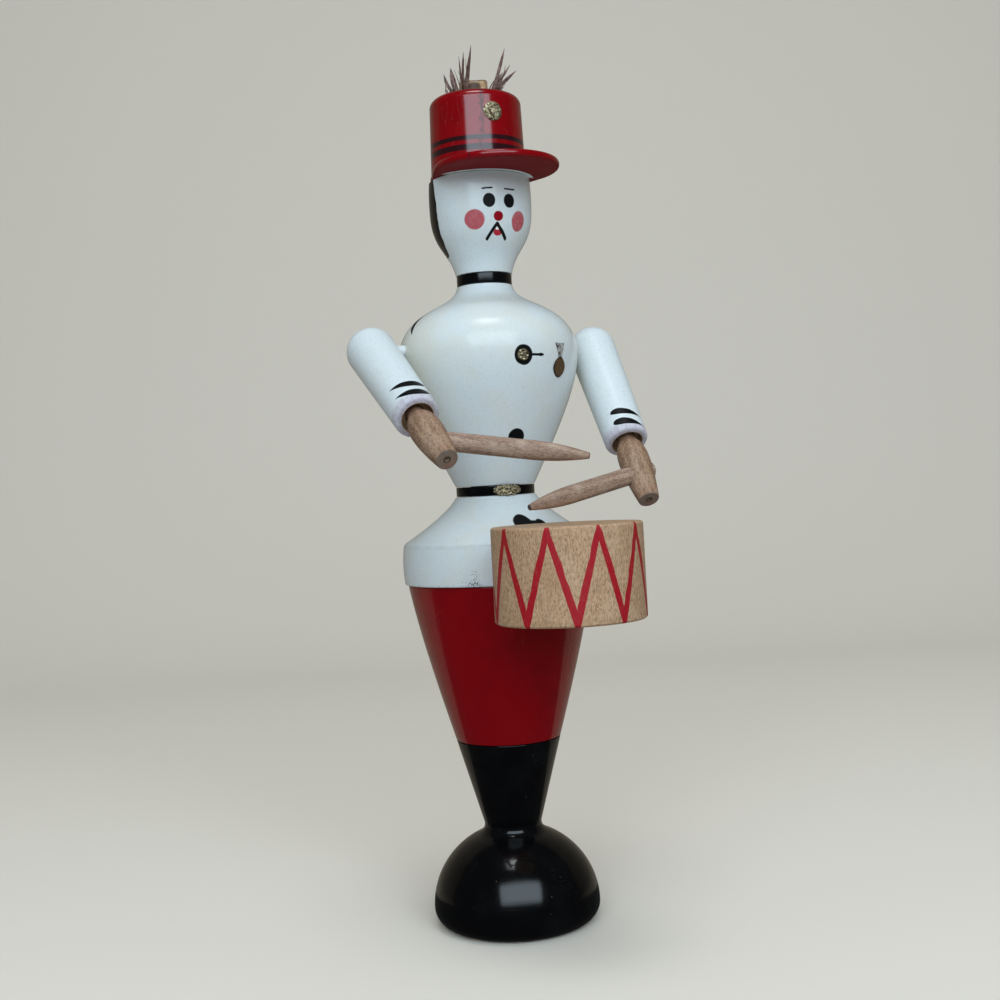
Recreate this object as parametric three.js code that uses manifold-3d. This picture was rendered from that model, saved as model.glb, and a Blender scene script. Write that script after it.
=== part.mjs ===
// Wooden drummer figurine: turned and lacquered wooden pieces stacked on dowels and tenons,
// with two arms that swing on shoulder pins above a plain wooden drum.
// Millimetres, +Z up. The origin is the middle of the flat foot, and the figure faces -Y.

import * as THREE from 'three';
import { mergeVertices } from 'three/addons/utils/BufferGeometryUtils.js';
import Module from 'manifold-3d';

const wasm = await Module();
wasm.setup();

// Fits between pieces
const glueLine = 0.1; // between two faces that are glued together
const dowelFit = 0.15; // round a dowel, peg or tenon in its bore
const boreSpare = 0.5; // past the end of a dowel in its bore
const pinRunning = 0.1; // round a shoulder pin in its sleeve
const drumGap = 0.3; // between the jacket hem and the drum
const foilGap = 0.06; // glue under a foil
const foilThickness = 0.3;

// Base and boots
const footRadius = 16;
const domeRadius = 20.65;
const rimHeight = 4.4; // from the floor to the widest line of the base
const domeRise = 19.4; // of the full dome above that line
const bootFootRadius = 6.6;
const bootTopRadius = 13;
const bootHeight = 22.8;
const legDowelRadius = 3;
const legDowelInBase = 13;
const legDowelInTrousers = 12;

// Trousers and jacket skirt
const trouserHeight = 39.1;
const trouserTopRadius = 22.9;
const thighRadius = 20.9; // where the two straight runs of the outline would meet
const thighHeight = 26.7;
const hipDowelRadius = 4;
const hipDowelDepth = 9.5;
const hemRadius = 23.65;
const hemSwell = 0.3;
const hemHeight = 9.7;
const hemEdge = 0.7;
const flareSlope = 1.46; // how far the skirt draws in for each step up
const flareRadius = 12;
const flareHeight = 17.1;
const skirtTopRadius = 9.95;
const skirtHeight = 20.9;

// Waist, torso and neck
const beltRadius = 9.75;
const beltHeight = 2.35;
const waistTenonRadius = 6;
const waistTenonDepth = 7;
const waistRadius = 9.82;
const chestRadius = 22.25;
const chestHeight = 32.3;
const shoulderTurnRadius = 12.8;
const shoulderTurnHeight = 44.5;
const torsoHeight = 49.6;
const neckRadius = 6.95;
const neckBandRadius = 6.85;
const neckBandHeight = 2.6;
const neckTenonRadius = 4.5;
const neckTenonDepth = 10;

// Head and hat
const chinRadius = 7;
const cheekRadius = 12.7;
const cheekHeight = 15.8;
const templeRadius = 12.85;
const browRadius = 12.55;
const headHeight = 23.4;
const visorThickness = 1.8;
const visorEdge = 0.35;
const visorRadius = 15.3;
const visorForward = 10.5; // from the axis to the middle of the visor's round front
const visorCornerX = 13; // where a side ends, beside the axis and in front of it
const visorCornerY = 1;
const visorBackRadius = 12.1; // of the plate behind, just outside the crown
const visorEndAngle = 5; // degrees behind the temples where the plate's round back ends
const visorTurn = 3; // degrees to the figure's left
const crownFootRadius = 11.8;
const crownTopRadius = 11.4;
const crownHeight = 18.6;
const crownEdge = 2.2;
const hatDowelRadius = 3;
const hatDowelDepth = 7.5;

// Plume
const plugRadius = 3.4;
const plugDepth = 6;
const plugRise = 4.7;
const plugEdge = 0.6;
const plugCavityRadius = 2.1;
const plugCavityDepth = 2.4;
const glueBeadWidth = 0.9;
const glueBeadHeight = 1;
const quillLength = 13.2;
const quillWidth = 1.7;
const quillFlatness = 0.5; // thickness as a share of the width
const quillTipShare = 0.24; // width of the tip as a share of the foot's
const quillSink = 0.6; // how deep a quill's foot stands in the glue

// Arms
const shoulderHeight = 33.65; // above the foot of the torso
const shoulderPinRadius = 1.6;
const shoulderPinInTorso = 9;
const shoulderPinInSleeve = 8.5;
const sleeveTopRadius = 6;
const sleeveEndRadius = 5.3;
const sleeveLength = 32.4; // from the shoulder pin to the cuff
const sleeveCap = 5.6; // from the shoulder pin to the top
const cuffChamfer = 0.9;
const cuffRecessRadius = 3.7;
const cuffRecessDepth = 2;
const wristRadius = 2.1;
const wristDepth = 6.5; // of the hand's tenon past the recess
const armLean = 3.3; // degrees, the cuffs towards each other
const handLength = 18;
const handRadius = 3.75;
const handRootRadius = 2.25;
const handEndRadius = 2.45;
const handGrip = 9.7; // from the cuff to the drumstick
const handCentreRadius = 0.6;
const handCentreDepth = 1.2;

// Drumsticks
const stickRadius = 2.15;
const stickTaper = 12;
const stickTipRadius = 0.65;
const stickTailRadius = 1.7;
const stickSeat = 1.2; // past the hand's axis, in a blind hole
const stickProud = 0.15; // out of the hand, in a hole right through it

// Each arm: the gap that it keeps to the chest, how far its stick reaches from the hand's axis,
// the stick's angles in the hand in degrees, whether it passes right through the hand,
// and the height of its tip over the drum
const rightArm = { side: -1, gap: 2, reach: 34.1, droop: 30.7, turn: 8, through: false, tipHeight: 14.6 };
const leftArm = { side: 1, gap: 0.6, reach: 32.4, droop: 18.5, turn: 0, through: true, tipHeight: 3.9 };

// Drum
const drumRadius = 16.85;
const drumHeight = 21.2;
const drumHeadRise = 9.2; // from the peg up to the drum's head
const drumEdge = 0.4;
const pegRadius = 2;
const pegDepth = 8;

// Foil trims
const badgeRadius = 2.35;
const badgeHeight = 12.6; // above the foot of the crown
const buckleWidth = 7;
const buckleHeight = 3.1;
const buckleTurn = 5; // degrees to the figure's right
const buttonFoilRadius = 1.4;
const buttonHeight = 30.2; // above the foot of the torso
const medalRadius = 2.4;
const medalHeight = 27.4; // above the foot of the torso
const medalTurn = 29; // degrees to the figure's left
const ribbonWidth = 3.4;
const ribbonWaist = 1.3;
const ribbonHeight = 3.6;

// Fineness of the round forms
const bodySteps = 32;
const limbSteps = 24;
const rodSteps = 20;

// Colours
const black = 0x101012;
const red = 0x9c0d16;
const white = 0xe9e8de;
const beech = 0xc79c6f;
const paleWood = 0xd8c6a4;
const gold = 0xb58a3c;
const silver = 0xb9ae97;
const quill = 0x4d3a33;

const rad = THREE.MathUtils.degToRad;
const mix = THREE.MathUtils.lerp;

function lacquer(color) {
  return new THREE.MeshStandardMaterial({ color, roughness: 0.18, metalness: 0 });
}

function bareWood(color) {
  return new THREE.MeshStandardMaterial({ color, roughness: 0.65, metalness: 0 });
}

function foil(color) {
  return new THREE.MeshStandardMaterial({ color, roughness: 0.35, metalness: 0.9 });
}

// Turns a profile of radius and height round the Z axis
function turned(profile, steps, fineness = 5) {
  return new THREE.LatheGeometry(profile.getPoints(fineness), steps).rotateX(Math.PI / 2);
}

// A plain rod along Z from the height low to the height high
function rod(radius, low, high, steps = rodSteps) {
  const profile = new THREE.Path();
  profile.moveTo(0, low).lineTo(radius, low).lineTo(radius, high).lineTo(0, high);
  return turned(profile, steps);
}

// A closed geometry as a solid that can be cut and joined
function solid(geometry) {
  const bare = geometry.clone();
  bare.deleteAttribute('normal');
  bare.deleteAttribute('uv');
  const merged = mergeVertices(bare, 1e-4);
  const corners = merged.index.array;
  const triVerts = [];
  for (let i = 0; i < corners.length; i += 3) {
    const [a, b, c] = corners.slice(i, i + 3);
    if (a !== b && b !== c && c !== a) triVerts.push(a, b, c);
  }
  return new wasm.Manifold(new wasm.Mesh({
    numProp: 3,
    vertProperties: new Float32Array(merged.attributes.position.array),
    triVerts: new Uint32Array(triVerts),
  }));
}

function geometryOf(shape) {
  const made = shape.getMesh();
  const geometry = new THREE.BufferGeometry();
  geometry.setAttribute('position', new THREE.BufferAttribute(made.vertProperties, 3));
  geometry.setIndex(new THREE.BufferAttribute(made.triVerts, 1));
  geometry.computeVertexNormals();
  return geometry;
}

function cut(geometry, ...tools) {
  return geometryOf(tools.reduce((left, tool) => left.subtract(solid(tool)), solid(geometry)));
}

const figure = new THREE.Group();

function place(name, geometry, material, parent = figure, height = 0) {
  const mesh = new THREE.Mesh(geometry, material);
  mesh.name = name;
  mesh.position.z = height;
  parent.add(mesh);
  return mesh;
}

// Heights at which the pieces of the stack stand
const domeSeat = Math.acos(bootFootRadius / domeRadius);
const baseHeight = rimHeight + domeRise * Math.sin(domeSeat);
const bootLevel = baseHeight + glueLine;
const trouserLevel = bootLevel + bootHeight + glueLine;
const skirtLevel = trouserLevel + trouserHeight + glueLine;
const beltLevel = skirtLevel + skirtHeight + glueLine;
const torsoLevel = beltLevel + beltHeight + glueLine;
const neckBandLevel = torsoLevel + torsoHeight + glueLine;
const headLevel = neckBandLevel + neckBandHeight + glueLine;
const visorLevel = headLevel + headHeight + glueLine;
const crownLevel = visorLevel + visorThickness + glueLine;
const crownTop = crownLevel + crownHeight;

// Base: a lacquered dome with a rolled lower edge and a flat foot
const legBoreRadius = legDowelRadius + dowelFit;
const baseBoreFloor = baseHeight - legDowelInBase - boreSpare;

function baseDome() {
  const profile = new THREE.Path();
  profile.moveTo(0, 0).lineTo(footRadius, 0);
  profile.absellipse(footRadius, rimHeight, domeRadius - footRadius, rimHeight, -Math.PI / 2, 0, false);
  profile.absellipse(0, rimHeight, domeRadius, domeRise, 0, domeSeat, false);
  profile.lineTo(legBoreRadius, baseHeight).lineTo(legBoreRadius, baseBoreFloor).lineTo(0, baseBoreFloor);
  return turned(profile, bodySteps, 3);
}

// Boots: a straight cone, bored right through for the leg dowel
function bootShaft() {
  const profile = new THREE.Path();
  profile.moveTo(legBoreRadius, 0).lineTo(bootFootRadius, 0).lineTo(bootTopRadius, bootHeight);
  profile.lineTo(legBoreRadius, bootHeight).lineTo(legBoreRadius, 0);
  return turned(profile, bodySteps);
}

// Trousers: a cone that fills out towards the hips
const hipBoreRadius = hipDowelRadius + dowelFit;
const hipBoreDepth = hipDowelDepth + boreSpare;

function trousers() {
  const legBore = legDowelInTrousers + boreSpare;
  const hipFloor = trouserHeight - hipBoreDepth;
  const profile = new THREE.Path();
  profile.moveTo(0, legBore).lineTo(legBoreRadius, legBore).lineTo(legBoreRadius, 0);
  profile.lineTo(bootTopRadius, 0);
  profile.quadraticCurveTo(thighRadius, thighHeight, trouserTopRadius, trouserHeight);
  profile.lineTo(hipBoreRadius, trouserHeight).lineTo(hipBoreRadius, hipFloor).lineTo(0, hipFloor);
  return turned(profile, bodySteps);
}

// Jacket skirt: an upright hem, and a flare that sweeps up to the belt
const waistBoreRadius = waistTenonRadius + dowelFit;
const pegHeight = hemHeight / 2;

function jacketSkirt() {
  const waistFloor = skirtHeight - waistTenonDepth - boreSpare;
  const profile = new THREE.Path();
  profile.moveTo(0, hipBoreDepth).lineTo(hipBoreRadius, hipBoreDepth).lineTo(hipBoreRadius, 0);
  profile.lineTo(hemRadius, 0);
  profile.quadraticCurveTo(hemRadius + 2 * hemSwell, pegHeight, hemRadius, hemHeight - hemEdge);
  profile.quadraticCurveTo(hemRadius, hemHeight, hemRadius - hemEdge * flareSlope, hemHeight + hemEdge);
  profile.quadraticCurveTo(flareRadius, flareHeight, skirtTopRadius, skirtHeight);
  profile.lineTo(waistBoreRadius, skirtHeight).lineTo(waistBoreRadius, waistFloor).lineTo(0, waistFloor);
  const pegBore = rod(pegRadius + dowelFit, hemRadius - pegDepth - boreSpare, hemRadius + 2 * hemSwell);
  return cut(turned(profile, bodySteps), pegBore.rotateX(Math.PI / 2).translate(0, 0, pegHeight));
}

// Belt and neck band: rings on the tenons of the torso and the head
function band(innerRadius, outerRadius, height) {
  const profile = new THREE.Path();
  profile.moveTo(innerRadius, 0).lineTo(outerRadius, 0).lineTo(outerRadius, height);
  profile.lineTo(innerRadius, height).lineTo(innerRadius, 0);
  return turned(profile, bodySteps);
}

// Torso: a vase that swells to the chest, rolls over the shoulders and sweeps up to the neck
const waistTenonFoot = -(glueLine + beltHeight + glueLine + waistTenonDepth);
const neckBoreRadius = neckTenonRadius + dowelFit;

// The ratios set each curve's handles between its two ends
function torsoOutline(profile) {
  profile.bezierCurveTo(
    mix(waistRadius, chestRadius, 0.43), chestHeight * 0.33, chestRadius, chestHeight * 0.72,
    chestRadius, chestHeight,
  );
  profile.bezierCurveTo(
    chestRadius, mix(chestHeight, shoulderTurnHeight, 0.55),
    mix(chestRadius, shoulderTurnRadius, 0.52), mix(chestHeight, shoulderTurnHeight, 0.82),
    shoulderTurnRadius, shoulderTurnHeight,
  );
  profile.bezierCurveTo(
    mix(shoulderTurnRadius, neckRadius, 0.48), mix(shoulderTurnHeight, torsoHeight, 0.27),
    mix(shoulderTurnRadius, neckRadius, 0.94), mix(shoulderTurnHeight, torsoHeight, 0.53),
    neckRadius, torsoHeight,
  );
}

function torso() {
  const neckFloor = torsoHeight - neckTenonDepth - boreSpare;
  const profile = new THREE.Path();
  profile.moveTo(0, waistTenonFoot).lineTo(waistTenonRadius, waistTenonFoot);
  profile.lineTo(waistTenonRadius, 0).lineTo(waistRadius, 0);
  torsoOutline(profile);
  profile.lineTo(neckBoreRadius, torsoHeight).lineTo(neckBoreRadius, neckFloor).lineTo(0, neckFloor);
  const bores = [-1, 1].map((side) => {
    const inner = chestRadius - shoulderPinInTorso - boreSpare;
    const bore = rod(shoulderPinRadius + dowelFit, inner, chestRadius + boreSpare);
    return bore.rotateY(side * Math.PI / 2).translate(0, 0, shoulderHeight);
  });
  return cut(turned(profile, bodySteps), ...bores);
}

// Head: narrow at the neck, full at the cheeks and cut flat under the hat
const neckTenonFoot = -(glueLine + neckBandHeight + glueLine + neckTenonDepth);
const hatBoreRadius = hatDowelRadius + dowelFit;
const hatBoreDepth = hatDowelDepth + boreSpare;

function head() {
  const hatFloor = headHeight - hatBoreDepth;
  const profile = new THREE.Path();
  profile.moveTo(0, neckTenonFoot).lineTo(neckTenonRadius, neckTenonFoot);
  profile.lineTo(neckTenonRadius, 0).lineTo(chinRadius, 0);
  profile.bezierCurveTo(
    mix(chinRadius, cheekRadius, 0.22), cheekHeight * 0.41,
    mix(chinRadius, cheekRadius, 0.98), cheekHeight * 0.44, cheekRadius, cheekHeight,
  );
  profile.quadraticCurveTo(templeRadius, mix(cheekHeight, headHeight, 0.5), browRadius, headHeight);
  profile.lineTo(hatBoreRadius, headHeight).lineTo(hatBoreRadius, hatFloor).lineTo(0, hatFloor);
  return turned(profile, bodySteps);
}

// Visor: a flat plate, close round the crown behind and round in front, with straight sides that draw in
function hatVisor() {
  const end = rad(visorEndAngle);
  const back = visorForward - visorCornerY;
  const tangent = Math.atan2(back, visorCornerX) - Math.acos(visorRadius / Math.hypot(visorCornerX, back));
  const outline = new THREE.Shape();
  outline.absarc(0, 0, visorBackRadius, end, Math.PI - end, false);
  outline.lineTo(-visorCornerX, -visorCornerY);
  outline.absarc(0, -visorForward, visorRadius, Math.PI - tangent, 2 * Math.PI + tangent, false);
  outline.lineTo(visorCornerX, -visorCornerY);
  outline.closePath();
  const hole = new THREE.Path();
  hole.absarc(0, 0, hatBoreRadius, 0, 2 * Math.PI, true);
  outline.holes.push(hole);
  return new THREE.ExtrudeGeometry(outline, {
    depth: visorThickness - 2 * visorEdge, curveSegments: 12, bevelSegments: 1,
    bevelThickness: visorEdge, bevelSize: visorEdge, bevelOffset: -visorEdge,
  }).translate(0, 0, visorEdge).rotateZ(rad(visorTurn));
}

// Crown: a slightly tapered drum with a rounded top edge, bored for the dowel and the plume plug
function crownOutline(profile) {
  profile.lineTo(crownTopRadius, crownHeight - crownEdge);
}

function hatCrown() {
  const plugBore = plugRadius + dowelFit;
  const plugFloor = crownHeight - plugDepth - boreSpare;
  const profile = new THREE.Path();
  profile.moveTo(0, hatBoreDepth).lineTo(hatBoreRadius, hatBoreDepth).lineTo(hatBoreRadius, 0);
  profile.lineTo(crownFootRadius, 0);
  crownOutline(profile);
  profile.absarc(crownTopRadius - crownEdge, crownHeight - crownEdge, crownEdge, 0, Math.PI / 2, false);
  profile.lineTo(plugBore, crownHeight).lineTo(plugBore, plugFloor).lineTo(0, plugFloor);
  return turned(profile, bodySteps, 3);
}

// Plume: a hollowed wooden plug, and split quills that stand in the glue round it.
// Each quill has its place round the plug, its lean outwards and its sway along the ring in degrees,
// and its length and width as shares of the longest and the widest quill.
const quills = [
  { around: 178, lean: 15, sway: 0, length: 0.56, width: 1 },
  { around: 165, lean: 29, sway: 0, length: 0.53, width: 0.35 },
  { around: 108, lean: 6.5, sway: 0, length: 0.92, width: 0.29 },
  { around: 203, lean: 0, sway: 5.5, length: 0.8, width: 0.35 },
  { around: 213.5, lean: 0, sway: 12, length: 0.91, width: 0.82 },
  { around: -12, lean: 19, sway: 0, length: 1, width: 0.65 },
  { around: 10, lean: 28, sway: 0, length: 0.53, width: 0.35 },
  { around: -25, lean: 30, sway: 0, length: 0.52, width: 0.35 },
  { around: 2, lean: 41, sway: 0, length: 0.61, width: 0.35 },
  { around: -36, lean: 52, sway: 0, length: 0.67, width: 0.71 },
  { around: -46, lean: 43, sway: 0, length: 0.68, width: 0.29 },
  { around: 70, lean: 20, sway: 0, length: 0.48, width: 0.53 },
];
const beadInnerRadius = plugRadius + dowelFit;
const beadMiddle = beadInnerRadius + glueBeadWidth / 2;

function plumePlug() {
  const cavityFloor = plugRise - plugCavityDepth;
  const profile = new THREE.Path();
  profile.moveTo(0, -plugDepth).lineTo(plugRadius, -plugDepth).lineTo(plugRadius, plugRise - plugEdge);
  profile.quadraticCurveTo(plugRadius, plugRise, plugRadius - plugEdge, plugRise);
  profile.lineTo(plugCavityRadius, plugRise).lineTo(plugCavityRadius, cavityFloor).lineTo(0, cavityFloor);
  return turned(profile, limbSteps, 3);
}

function quillShard({ around, lean, sway, length, width }) {
  const foot = width * quillWidth / 2;
  const blade = new THREE.CylinderGeometry(foot * quillTipShare, foot, length * quillLength, 4);
  blade.scale(quillFlatness, 1, 1).rotateX(Math.PI / 2).translate(0, 0, length * quillLength / 2);
  blade.rotateX(-rad(sway)).rotateY(rad(lean)).translate(beadMiddle, 0, glueBeadHeight - quillSink);
  return blade.rotateZ(rad(around));
}

function plume() {
  const bead = band(beadInnerRadius, beadInnerRadius + glueBeadWidth, glueBeadHeight);
  const clearance = rod(beadInnerRadius, -plugDepth, plugRise + glueLine);
  const tuft = quills.reduce((made, shard) => made.add(solid(quillShard(shard))), solid(bead));
  return geometryOf(tuft.subtract(solid(clearance)));
}

// Drum: a plain cylinder on a peg in the jacket hem
const drumAway = hemRadius + hemSwell + drumGap + drumRadius;
const pegLevel = skirtLevel + pegHeight;
const drumTop = pegLevel + drumHeadRise;

function drum() {
  const edge = drumRadius - drumEdge;
  const profile = new THREE.Path();
  profile.moveTo(0, 0).lineTo(edge, 0).lineTo(drumRadius, drumEdge);
  profile.lineTo(drumRadius, drumHeight - drumEdge).lineTo(edge, drumHeight).lineTo(0, drumHeight);
  const bore = rod(pegRadius + dowelFit, drumRadius - pegDepth - boreSpare, drumRadius + drumGap);
  return cut(
    turned(profile, bodySteps),
    bore.rotateX(-Math.PI / 2).translate(0, 0, drumHeight - drumHeadRise),
  );
}

// Arms: a sleeve on its pin, a hand in its cuff and a drumstick through the hand.
// They are made hanging down from the shoulder pin, and then lean in and swing forward.
const shoulderLevel = torsoLevel + shoulderHeight;
const gripLevel = -(sleeveLength + handGrip);

// The direction of a drumstick in a hanging arm
function stickAim({ side, droop, turn }) {
  const level = Math.cos(rad(droop));
  return new THREE.Vector3(
    -side * level * Math.cos(rad(turn)), -level * Math.sin(rad(turn)), -Math.sin(rad(droop)),
  );
}

// How far the arm swings forward to hold its stick's tip at its height over the drum
function swingOf(arm) {
  const tip = new THREE.Vector3(0, 0, gripLevel).addScaledVector(stickAim(arm), arm.reach);
  tip.applyAxisAngle(new THREE.Vector3(0, 1, 0), arm.side * rad(armLean));
  const drop = shoulderLevel - (drumTop + arm.tipHeight);
  const hanging = Math.atan2(-tip.y, -tip.z);
  return Math.acos(drop / Math.hypot(tip.y, tip.z)) - hanging;
}

// Lays a rod along Z into the line of a drumstick
function alongStick(geometry, arm) {
  const turnTo = new THREE.Quaternion().setFromUnitVectors(new THREE.Vector3(0, 0, 1), stickAim(arm));
  return geometry.applyQuaternion(turnTo).translate(0, 0, gripLevel);
}

function sleeve({ side, gap }) {
  const recessFloor = -sleeveLength + cuffRecessDepth;
  const socketRadius = wristRadius + dowelFit;
  const socketFloor = recessFloor + wristDepth + boreSpare;
  const profile = new THREE.Path();
  profile.moveTo(0, socketFloor).lineTo(socketRadius, socketFloor).lineTo(socketRadius, recessFloor);
  profile.lineTo(cuffRecessRadius, recessFloor).lineTo(cuffRecessRadius, -sleeveLength);
  profile.lineTo(sleeveEndRadius - cuffChamfer, -sleeveLength);
  profile.lineTo(sleeveEndRadius, -sleeveLength + cuffChamfer).lineTo(sleeveTopRadius, 0);
  profile.absellipse(0, 0, sleeveTopRadius, sleeveCap, 0, Math.PI / 2, false);
  const boreFloor = shoulderPinInSleeve - sleeveTopRadius + boreSpare;
  const bore = rod(shoulderPinRadius + pinRunning, -sleeveTopRadius - gap, boreFloor);
  bore.rotateY(side * Math.PI / 2 - side * rad(armLean));
  return cut(turned(profile, limbSteps, 4), bore);
}

function hand(arm) {
  const wristFoot = -sleeveLength + cuffRecessDepth + wristDepth;
  const handEnd = -sleeveLength - handLength;
  const widest = -sleeveLength - handGrip * 0.6;
  const profile = new THREE.Path();
  profile.moveTo(0, handEnd + handCentreDepth).lineTo(handCentreRadius, handEnd);
  profile.lineTo(handEndRadius, handEnd);
  profile.quadraticCurveTo(handRadius, mix(handEnd, widest, 0.6), handRadius, widest);
  const root = -sleeveLength + glueLine;
  profile.quadraticCurveTo(handRadius, mix(widest, root, 0.6), handRootRadius, root);
  profile.lineTo(wristRadius, root).lineTo(wristRadius, wristFoot).lineTo(0, wristFoot);
  const boreDepth = arm.through ? 2 * handRadius : stickSeat + boreSpare;
  const bore = rod(stickRadius + dowelFit, -boreDepth, arm.reach);
  return cut(turned(profile, limbSteps, 4), alongStick(bore, arm));
}

function drumstick(arm) {
  const tail = arm.through ? -handRadius - stickProud : -stickSeat;
  const profile = new THREE.Path();
  profile.moveTo(0, tail).lineTo(stickTailRadius, tail);
  profile.lineTo(stickRadius, tail + stickRadius - stickTailRadius);
  profile.lineTo(stickRadius, arm.reach - stickTaper);
  profile.quadraticCurveTo(stickRadius * 0.95, arm.reach - stickTaper / 2, stickTipRadius, arm.reach);
  profile.lineTo(0, arm.reach);
  return alongStick(turned(profile, rodSteps, 4), arm);
}

function shoulderPin({ side, gap }) {
  const pin = rod(shoulderPinRadius, -shoulderPinInTorso, gap + shoulderPinInSleeve);
  return pin.rotateY(side * Math.PI / 2).translate(side * chestRadius, 0, shoulderLevel);
}

// Foils: an outline facing -Y, laid on a turned surface. The surface is a profile of radius and height.
function laidFoil(outline, surface, turn, fineness = 8) {
  const under = surface.getPoints(fineness);
  const skin = under.map((p) => new THREE.Vector2(p.x + foilGap + foilThickness, p.y));
  const back = under.map((p) => new THREE.Vector2(p.x + foilGap, p.y)).reverse();
  const shell = new THREE.LatheGeometry([...skin, ...back, skin[0]], bodySteps * 2).rotateX(Math.PI / 2);
  const reach = Math.max(...skin.map((p) => p.x)) + foilThickness;
  const stamp = new THREE.ExtrudeGeometry(outline, { depth: reach, bevelEnabled: false, curveSegments: 8 });
  stamp.rotateX(Math.PI / 2);
  return geometryOf(solid(shell).intersect(solid(stamp))).rotateZ(rad(turn));
}

function roundOutline(radius, height) {
  const outline = new THREE.Shape();
  outline.absarc(0, height, radius, 0, 2 * Math.PI, false);
  return outline;
}

function crownSurface() {
  const surface = new THREE.Path();
  surface.moveTo(crownFootRadius, 0);
  crownOutline(surface);
  return surface;
}

function torsoSurface() {
  const surface = new THREE.Path();
  surface.moveTo(waistRadius, 0);
  torsoOutline(surface);
  return surface;
}

// The buckle bridges the belt, so its surface stands over the skirt's and the torso's edges
function buckleSurface() {
  const surface = new THREE.Path();
  const over = Math.max(beltRadius, waistRadius, skirtTopRadius) + foilThickness;
  surface.moveTo(over, -buckleHeight).lineTo(over, beltHeight + buckleHeight);
  return surface;
}

// Two round lobes beside a taller middle
function buckleOutline() {
  const middle = beltHeight / 2;
  const lobe = buckleHeight * 0.34;
  const lobeAway = buckleWidth / 2 - lobe;
  const outline = new THREE.Shape();
  outline.moveTo(lobeAway, middle - lobe);
  outline.absarc(lobeAway, middle, lobe, -Math.PI / 2, Math.PI / 2, false);
  outline.quadraticCurveTo(lobeAway / 2, middle + lobe * 0.6, lobeAway / 2, middle + buckleHeight * 0.4);
  outline.quadraticCurveTo(0, middle + buckleHeight * 0.6, -lobeAway / 2, middle + buckleHeight * 0.4);
  outline.quadraticCurveTo(-lobeAway / 2, middle + lobe * 0.6, -lobeAway, middle + lobe);
  outline.absarc(-lobeAway, middle, lobe, Math.PI / 2, 3 * Math.PI / 2, false);
  outline.quadraticCurveTo(-lobeAway / 2, middle - lobe * 0.6, -lobeAway / 2, middle - buckleHeight * 0.4);
  outline.quadraticCurveTo(0, middle - buckleHeight * 0.6, lobeAway / 2, middle - buckleHeight * 0.4);
  outline.quadraticCurveTo(lobeAway / 2, middle - lobe * 0.6, lobeAway, middle - lobe);
  return outline;
}

// A round medal on a ribbon that is gathered where the medal hangs
function medalOutline() {
  const neck = medalHeight + medalRadius * 0.9;
  const joint = Math.asin(0.9);
  const top = neck + ribbonHeight;
  const outline = new THREE.Shape();
  outline.absarc(0, medalHeight, medalRadius, Math.PI - joint, 2 * Math.PI + joint, false);
  outline.lineTo(ribbonWaist / 2, neck + ribbonHeight * 0.2);
  outline.lineTo(ribbonWidth / 2, top).lineTo(-ribbonWidth / 2, top);
  outline.lineTo(-ribbonWaist / 2, neck + ribbonHeight * 0.2);
  outline.closePath();
  return outline;
}

// The stack, from the floor up
const legDowel = rod(legDowelRadius, baseHeight - legDowelInBase, trouserLevel + legDowelInTrousers);
const hipDowel = rod(hipDowelRadius, -glueLine - hipDowelDepth, hipDowelDepth);
const hatDowel = rod(hatDowelRadius, visorLevel - glueLine - hatDowelDepth, crownLevel + hatDowelDepth);
const waistBelt = band(waistBoreRadius, beltRadius, beltHeight);
const neckBand = band(neckBoreRadius, neckBandRadius, neckBandHeight);
place('base_dome', baseDome(), lacquer(black));
place('boot_shaft', bootShaft(), lacquer(black), figure, bootLevel);
place('leg_dowel', legDowel, bareWood(beech));
place('trousers', trousers(), lacquer(red), figure, trouserLevel);
place('hip_dowel', hipDowel, bareWood(beech), figure, skirtLevel);
place('jacket_skirt', jacketSkirt(), lacquer(white), figure, skirtLevel);
place('waist_belt', waistBelt, lacquer(black), figure, beltLevel);
place('torso', torso(), lacquer(white), figure, torsoLevel);
place('neck_band', neckBand, lacquer(black), figure, neckBandLevel);
place('head', head(), lacquer(white), figure, headLevel);
place('hat_dowel', hatDowel, bareWood(beech));
place('hat_visor', hatVisor(), lacquer(red), figure, visorLevel);
place('hat_crown', hatCrown(), lacquer(red), figure, crownLevel);
place('plume_plug', plumePlug(), bareWood(paleWood), figure, crownTop);
place('plume', plume(), bareWood(quill), figure, crownTop + glueLine);

// The drum and its peg
const pegBack = hemRadius + hemSwell - pegDepth;
const pegFront = hemRadius + hemSwell + drumGap + pegDepth;
const drumPeg = rod(pegRadius, pegBack, pegFront).rotateX(Math.PI / 2);
place('drum_peg', drumPeg, bareWood(beech), figure, pegLevel);
place('drum', drum(), bareWood(beech), figure, drumTop - drumHeight).position.y = -drumAway;

// The foils
const badge = laidFoil(roundOutline(badgeRadius, badgeHeight), crownSurface(), 0);
const buckle = laidFoil(buckleOutline(), buckleSurface(), -buckleTurn);
const button = laidFoil(roundOutline(buttonFoilRadius, buttonHeight), torsoSurface(), 0);
const medal = laidFoil(medalOutline(), torsoSurface(), medalTurn);
place('hat_badge', badge, foil(gold), figure, crownLevel);
place('belt_buckle', buckle, foil(gold), figure, beltLevel);
place('chest_button', button, foil(gold), figure, torsoLevel);
place('medal', medal, foil(silver), figure, torsoLevel);

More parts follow.
